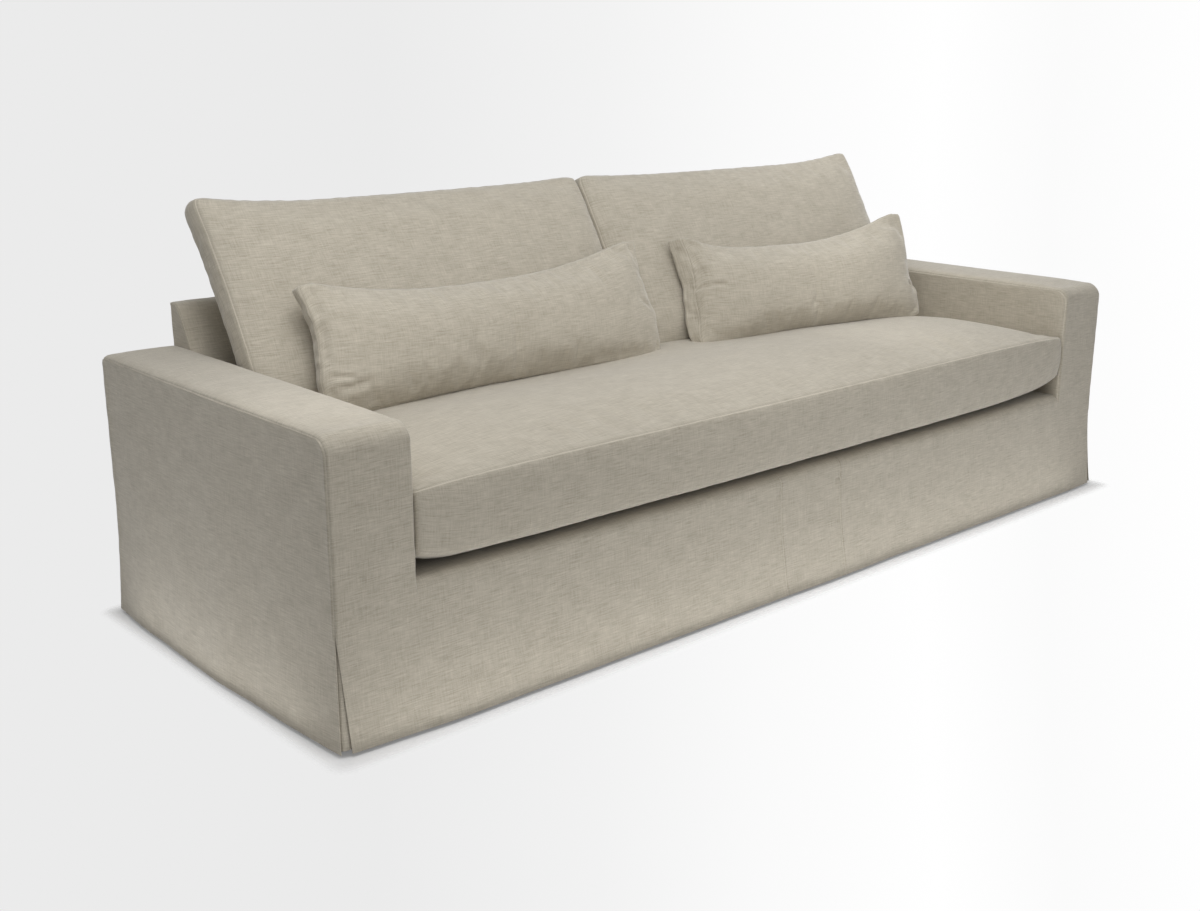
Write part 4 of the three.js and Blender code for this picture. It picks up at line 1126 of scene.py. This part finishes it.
def back_cushion_form(outward):
    def form(a, b, h, inset=0):
        outer = a * outward > 0
        ear = np.where(outer, 33, 14) * a**4
        swell = 4 * (1 - h**2)
        end_swell = np.where((np.abs(a) == 1) & outer, np.sign(a) * swell, 0)
        draw = np.sign(a) * np.where(outer, 5 + a**6 * 6 * (1 - b**2), -3.2)
        corner = 9 * np.abs(a * b) ** 24
        x = a * (BACK_LENGTH / 2 - inset) - draw + end_swell - np.sign(a) * corner
        height = 489 + ear + BACK_FOOT_DIP
        up = -BACK_FOOT_DIP + height * (b + 1) / 2 + np.where(b == 1, swell, 0)
        up = up - np.sign(b) * (corner + inset)
        front_seam = 12 + 7 * (1 - b**2)
        out = front_seam - inset / 2 - (BOXING - inset) * (1 - h) / 2
        behind = -FULL_REAR * (1 - np.abs(a) ** 5) * (1 - np.abs(b) ** 5) ** 0.6
        crown = np.where(h > 0, FULL_FRONT * bulge(a, b, 5, 0.6), behind)
        out = out + np.where(np.abs(h) == 1, crown, 0) * (1 - inset / 40)
        return rested(*leaning((x, up, out), *back_cushion_place(outward)), 0.5 + inset)

    return form


def back_limits(points, normals):
    """A back cushion swells at its front, and little where it leans, stands or meets the other."""
    held = (normals[:, 1] > 0.2) | (points[:, 2] < 530) | (np.abs(points[:, 0]) < 30)
    return np.where(held, 0.2, 1)


def rear_zip(name, place, up, out, tilt, length):
    """A zip on the rear face of a leaning cushion, at a height up its lean."""
    middle, along, outward_point = (
        np.array(leaning(local, *place))
        for local in ((0, up, out), (1, up, out), (0, up - math.sin(tilt), out - math.cos(tilt)))
    )
    zip_place(name, middle, along - middle, outward_point - middle, length)


def stuffed(name, side, form, size, centre, cells, inset, finish, fullness, fine, **filling):
    """A cushion filled with fibre: its cover and its insert, in coarser cells."""
    body = f"{name}_{side}"
    nets = boxed(form, *size, cells[0], centre, fine=fine)
    cover = cushion(f"{name}_linen_{side}", nets, **filling)
    finish_piece(cover, finish, "linen", body, f"{name}_cover_{side}")
    nets = boxed(smaller(form, inset), *size, cells[1], centre)
    insert(f"{name}_fibre_{side}", nets, fibre, "fibre_fill", body, f"{name}_insert_{side}")


for outward, side in SIDES:
    form = back_cushion_form(outward)
    centre = (outward * 560, 660, 740)
    rear_zip(f"back_zip_{side}", back_cushion_place(outward), 140, -152, 0, 740)

    def apart(points, outward=outward, side=side):
        """Keeps the two cushions on their own sides of the middle, where they press together."""
        points = settled(points)
        points[:, 0] = outward * np.maximum(0.4, outward * points[:, 0])
        return zip_groove(points, f"back_zip_{side}")

    stuffed(
        "back_cushion",
        side,
        form,
        BACK_SIZE,
        centre,
        cells=(11, 30),
        inset=11,
        finish=cushion_linen,
        fullness=0.65,
        fine=(0.27, 0.342),
        pressure=4,
        slack=0.012,
        cap=7,
        limits=back_limits,
        settle=apart,
        swell=3.2,
        pucker=1.0,
        seed=31.0 + outward,
    )

# Lumbar pillows. Two narrow boxed pillows of the same linen, loosely filled with fibre, the left
# one longer: their tops dip between pointed corners, and their ends are drawn in and puckered.

# Sizes in mm and degrees. "top" is the height in the middle, and "ears" how much higher each end
# is, with the power of its rise. "lift" is how far the front's lower seam stands off the seat, and
# where along it and how widely, from -1 to 1. "ends" says how far each end's front and rear seams
# are drawn in at "heights" up them.
PILLOWS = {
    "left": {
        "length": 1025, "centre": -497, "in_front": 98, "yaw": 2.4, "lift": (19, -0.45, 0.85),
        "top": 253, "ears": {-1: (60, 2.6), 1: (64, 2.2)},
        "heights": (0, 20, 80, 100, 125, 150, 185, 213, 258, 300),
        "ends": {
            -1: ((-6, -4, -1, 3, 8, 13, 18, 17, 12, 3), (0, 2, 6, 10, 15, 19, 25, 25, 18, 5)),
            1: ((2, -1, -9, -14, -8, -3, 0, 4, 1, -9), (6, 5, 5, 4, 4, 6, 8, 8, 6, -6)),
        },
    },
    "right": {
        "length": 828, "centre": 552, "in_front": 141, "yaw": -9.5, "lift": (17, 0.2, 0.85),
        "top": 255.5, "ears": {-1: (58, 4.0), 1: (76, 1.9)},
        "heights": (0, 30, 70, 84, 102, 142, 165, 194, 257, 300),
        "ends": {
            -1: ((20, 22, 30, 31, 31, 31, 38, 41, 35, 20), (12, 2, 2, 4, 8, 12, 18, 13, 5, -2)),
            1: ((4, 1, -2, -5, 11, 10, 8, 5, 0, -2), (8, 6, 5, 4, 14, 14, 12, 10, 6, 2)),
        },
    },
}
PILLOW_LEAN = math.radians(22)
PILLOW_BOXING = 33
PILLOW_FOOT_DIP = 12
PILLOW_FULL_FRONT, PILLOW_FULL_REAR = 55, 10


def pillow_place(pillow):
    """Where a pillow stands: its origin, lean and turn."""
    origin = (pillow["centre"], BACK_PLANE - pillow["in_front"], LEAN_BASE)
    return origin, PILLOW_LEAN, math.radians(pillow["yaw"])


def pillow_form(pillow):
    def form(a, b, h, inset=0):
        corner = 20 * np.abs(a * b) ** 26
        ear = {way: height * np.abs(a) ** power for way, (height, power) in pillow["ears"].items()}
        head = pillow["top"] + np.where(a < 0, ear[-1], ear[1])
        share = (b + 1) / 2
        up = -PILLOW_FOOT_DIP + (head + PILLOW_FOOT_DIP) * share
        drawn = np.zeros(np.broadcast(a, b, h).shape)
        for way, seams in pillow["ends"].items():
            for front, amounts in zip((1, -1), seams):
                around = [np.interp(up + mm, pillow["heights"], amounts) for mm in (-9, 0, 9)]
                drawn = drawn + np.where(a * way > 0, sum(around) / 3 * (1 + front * h) / 2, 0)
        height, where, reach = pillow["lift"]
        lifted = height * np.exp(-(((a - where) / reach) ** 4)) * (1 - share) ** 5 * (h + 1) / 2
        up = up + lifted - np.sign(b) * (corner + inset)
        rear_seam = -PILLOW_BOXING * (1 - 0.2 * (1 - share))
        out = (rear_seam + inset / 2) * (1 - h) / 2 - inset / 4 * (1 + h) / 2
        fullness = np.where(h > 0, PILLOW_FULL_FRONT, -PILLOW_FULL_REAR)
        crown = fullness * bulge(a, b, 3, 0.75)
        out = out + np.where(np.abs(h) == 1, crown, 0) * (1 - inset / 30)
        x = a * (pillow["length"] / 2 - inset) - np.sign(a) * (drawn * a**4 + corner)
        return rested(*leaning((x, up, out), *pillow_place(pillow)), 0.5 + inset)

    return form


def pillow_limits(points, normals):
    """A pillow swells at its front and ends, and little behind, where it leans."""
    return np.where((normals[:, 1] > 0.3) | (points[:, 2] < 512), 0.2, 1)


# Folds at the pillows' ends, each from one place to another along and up the front face, with its
# depth and width in mm.
FOLDS = {
    "left": (
        (-480, 214, -492, 110, 2.2, 8),
        (-500, 92, -440, 78, 3.0, 6),
        (-488, 60, -400, 66, 3.0, 9),
        (505, 120, 452, 150, 3.0, 7),
        (500, 215, 470, 190, 2.0, 8),
        (-486, 285, -440, 262, 2.5, 9),
        (500, 290, 455, 268, 2.0, 9),
    ),
    "right": (
        (-384, 152, -345, 158, 5.0, 5),
        (-345, 158, -296, 150, 4.5, 6),
        (-378, 262, -350, 180, 3.0, 9),
        (-392, 60, -378, 130, 3.0, 7),
        (405, 92, 372, 108, 4.0, 6),
        (-380, 290, -330, 262, 2.5, 9),
        (395, 292, 350, 270, 2.5, 9),
    ),
}


def pillow_folds(side, pillow):
    """The folds of a pillow, as a lift for each of its points."""
    origin, lean, yaw = pillow_place(pillow)
    rows = [np.array(leaning(local, (0, 0, 0), lean, yaw)) for local in np.eye(3)]

    def lift(points):
        x, up, out = ((points - origin) @ np.array(rows).T).T
        face = np.stack([x, up, 0 * x], -1)
        total = sum(
            crease(face, (x0, up0, 0), (x1, up1, 0), depth, width)
            for x0, up0, x1, up1, depth, width in FOLDS[side]
        )
        return np.where(out > -12, total, 0)

    return lift


for side, pillow in PILLOWS.items():
    form = pillow_form(pillow)
    centre = (pillow["centre"], BACK_PLANE - pillow["in_front"] + 30, 640)
    rear_zip(f"pillow_zip_{side}", pillow_place(pillow), 78, -24.6, math.radians(3), 400)

    def pillow_settled(points, side=side):
        return zip_groove(settled(points), f"pillow_zip_{side}")

    stuffed(
        "pillow",
        side,
        form,
        (pillow["length"], 310, PILLOW_BOXING),
        centre,
        cells=(8, 24),
        inset=14,
        finish=linen,
        fullness=0.6,
        fine=(0.276, 0.404),
        pressure=5,
        slack=0.03,
        cap=8,
        limits=pillow_limits,
        settle=pillow_settled,
        swell=2.0,
        pucker=1.0,
        seed=41.0 + pillow["yaw"],
        extra=pillow_folds(side, pillow),
    )

# Zips. Each cushion closes behind with a woven tape, a coil chain and a cast zinc slider with a
# pull: the tape is dyed like the linen, and the zinc is dull with brighter worn spots.
zinc = mottled(
    "die_cast_zinc", "#8f8a80", "#c4c0b6", (3, 3, 3), 3, rough=(0.28, 0.45), Metallic=1.0
)


def zip_weave(name, dark, pale, pitch):
    """Dyed polyester with fine ribs, a pitch apart across the tape or along the coil's wire."""
    return mottled(
        name, dark, pale, (9, pitch), 2, relief=(0.5, 0.4), Roughness=0.8, Sheen_Weight=0.2
    )


tape_finish = zip_weave("woven_zip_tape", "#8f8778", "#b9b1a1", 1.5)
coil_finish = zip_weave("moulded_polyester_coil", "#857d6f", "#a89f8e", 0.8)
PITCH = 1.8  # mm from one turn of the coil to the next, a little coarser than the real 1.5
TURN = [(-2.5, 0.1), (-2.1, 1.3), (-0.9, 2.0), (0.9, 2.0), (2.1, 1.3), (2.5, 0.1)]


def from_zip(name, x, y, z):
    """Points in a zip's own frame as x, y and z in the maker's frame."""
    origin, axes, _ = ZIPS[name]
    return tuple(origin[i] + x * axes[0, i] + y * axes[1, i] + z * axes[2, i] for i in range(3))


def zip_pieces(name, body, node):
    """The tape with its two corded edges, and the turns of the coil."""
    origin, axes, length = ZIPS[name]

    def tape_face(a, b):
        y = (2 * b - 1) * (TAPE_HALF - 0.3)
        cords = 0.45 * np.exp(-(((np.abs(y) - 3.6) / 0.7) ** 2))
        return from_zip(name, (a - 0.5) * length, y, -0.25 + cords + 0 * a)

    inside = origin - 60 * axes[2]
    shares = stops(length, 9, ()), stops(2 * TAPE_HALF, 1.2, ())
    tape = sewn(f"{name}_tape", [net(tape_face, *shares, "", inside)])
    thicken(tape, 1.0)
    finish_piece(tape, tape_finish, "zip_tape", body, node)
    turns = []
    profile = np.array(TURN)
    for i in range(int((length - 4) / PITCH)):
        x = -length / 2 + 2 + i * PITCH
        slant = 0.35 if i % 2 else -0.35

        def turn(a, b, x=x, slant=slant):
            k = b.astype(int)
            width = 0.55 * (1 - 0.5 * np.abs(2 * a - 1) ** 3)
            y, z = profile[k, 0], profile[k, 1] * (1 - 0.25 * np.abs(2 * a - 1) ** 3)
            return from_zip(name, x + (2 * a - 1) * 1.4 * width + slant * y / 2.5, y, z)

        turns.append(net(turn, np.array([0, 0.5, 1]), np.arange(len(profile)), "", inside))
    coil = sewn(f"{name}_coil", turns, 0.001)
    finish_piece(coil, coil_finish, "zip_tape", body, node)


for name in ZIPS:
    base, _, side = name.partition("_zip")
    body = {"seat": "seat_cushion", "back": f"back_cushion{side}", "pillow": f"pillow{side}"}[base]
    zip_pieces(name, body, f"{base}_zip_tape{side}")
    dress(f"{base}_zip_slider{side}", zinc)

# Studio. A white floor shows only its soft shade close to the skirt, before a surround that turns
# from pale grey to white. The light is even, with soft lamps above and towards the seat and the
# right arm, and strips of light on the floor.
floor = bpy.data.objects.new("floor", bpy.data.meshes.new("floor"))
bpy.context.scene.collection.objects.link(floor)
floor.data.from_pydata([(-6, -6, 0), (6, -6, 0), (6, 6, 0), (-6, 6, 0)], [], [(0, 1, 2, 3)])
paper = bpy.data.materials.new("paper_floor")
paper.use_nodes = True
paper.node_tree.nodes.clear()
FOOTPRINT_MIDDLE = (0, -0.005, 0)
FOOTPRINT_HALF = (1.315, 0.492, 0)
SHADE_REACH = 0.05


def seen_directly(owner):
    """1 where a camera, glossy or transmission ray meets it, and else 0."""
    path = add_node(owner, "LightPath").outputs
    shiny = {0: path["Is Camera Ray"], 1: path["Is Glossy Ray"]}
    shiny = add_node(owner, "Math", shiny, operation="MAXIMUM")
    through = {0: shiny, 1: path["Is Transmission Ray"]}
    return add_node(owner, "Math", through, operation="MAXIMUM")


direct = seen_directly(paper)
away = add_node(paper, "TexCoord").outputs["Object"]
away = add_node(paper, "VectorMath", {0: away, 1: FOOTPRINT_MIDDLE}, operation="SUBTRACT")
away = add_node(paper, "VectorMath", {0: away}, operation="ABSOLUTE")
away = add_node(paper, "VectorMath", {0: away, 1: FOOTPRINT_HALF}, operation="SUBTRACT")
away = add_node(paper, "VectorMath", {0: away, 1: (0, 0, 0)}, operation="MAXIMUM")
away = add_node(paper, "VectorMath", {0: away}, operation="LENGTH").outputs["Value"]
fading = {0: away, 1: 0, 2: SHADE_REACH, 3: 0.8, 4: 0}
near = add_node(paper, "MapRange", fading, interpolation_type="SMOOTHSTEP")
matt = add_node(paper, "BsdfDiffuse", {"Color": linear("#f2f2f2")})
clear = add_node(paper, "BsdfTransparent")
shown = add_node(paper, "MixShader", {0: near, 1: clear, 2: matt})
surface = add_node(paper, "MixShader", {0: direct, 1: matt, 2: shown})
add_node(paper, "OutputMaterial", {"Surface": surface})
floor.data.materials.append(paper)

world = bpy.data.worlds.new("studio")
bpy.context.scene.world = world
world.use_nodes = True
world.node_tree.nodes.clear()
direct = seen_directly(world)
sideways = {0: add_node(world, "TexCoord").outputs["Generated"], 1: (0.747, -0.664, 0)}
sideways = add_node(world, "VectorMath", sideways, operation="DOT_PRODUCT").outputs["Value"]
across_view = add_node(world, "MapRange", {0: sideways, 1: -0.15, 2: 0.4})
surround = add_node(world, "ValToRGB", {0: across_view})
greys = (
    (0, "#ebebeb"),
    (0.27, "#f2f2f2"),
    (0.47, "#fafafa"),
    (0.68, "#ffffff"),
    (0.82, "#fbfbfb"),
    (1, "#f4f4f4"),
)
stops_of = surround.color_ramp.elements
for number, (share, grey) in enumerate(greys):
    stop = stops_of[0] if number == 0 else stops_of.new(share)
    stop.position, stop.color = share, linear(grey)
backdrop = add_node(world, "Background", {"Color": surround, "Strength": 1.0})
ambient = add_node(world, "Background", {"Color": (1, 1, 1, 1), "Strength": 0.39})
sky = add_node(world, "MixShader", {0: direct, 1: ambient, 2: backdrop})
add_node(world, "OutputWorld", {"Surface": sky})

for name, size, power, location, aim in (
    ("overhead", (7.0, 7.0), 30, (1.6, -1.2, 4.0), (1.6, -1.2, 0)),
    ("above_the_seat", (1.2, 1.2), 21.8, (-1.1, -0.85, 2.6), (-0.3, 0.2, 0.5)),
    ("over_the_right_arm", (0.4, 1.0), 5.6, (1.25, 0.15, 1.9), (1.22, 0.1, 0.6)),
    ("towards_the_right_arm", (0.6, 0.4), 2.2, (-0.1, -0.95, 1.25), (1.2, 0.0, 0.45)),
    ("inside_the_right_arm", (0.3, 0.5), 0.34, (0.6, -0.3, 0.9), (1.12, -0.05, 0.55)),
    ("at_the_left_pillow", (0.3, 0.3), 0.69, (-1.25, -0.35, 0.95), (-0.85, 0.15, 0.65)),
    ("along_the_seat", (2.0, 0.15), 0.6, (0, -0.5, 0.95), (0, 0.35, 0.75)),
    ("floor_in_front", (2.4, 0.17), 1.55, (0, -0.6, 0.015), (0, -0.6, 1)),
    ("floor_before_the_left_arm", (0.3, 0.17), 0.16, (-1.2, -0.6, 0.015), (-1.2, -0.6, 1)),
    ("floor_at_the_side", (0.17, 0.8), 0.45, (-1.43, 0, 0.015), (-1.43, 0, 1)),
):
    lamp = bpy.data.objects.new(name, bpy.data.lights.new(name, "AREA"))
    bpy.context.scene.collection.objects.link(lamp)
    lamp.data.energy = power
    lamp.data.shape = "RECTANGLE"
    lamp.data.size, lamp.data.size_y = size
    lamp.visible_camera = False
    lamp.location = location
    way = np.array(aim) - np.array(location)
    turn = math.atan2(way[1], way[0]) - math.pi / 2 if way[0] or way[1] else 0
    lamp.rotation_euler = (math.atan2(math.hypot(way[0], way[1]), -way[2]), 0, turn)
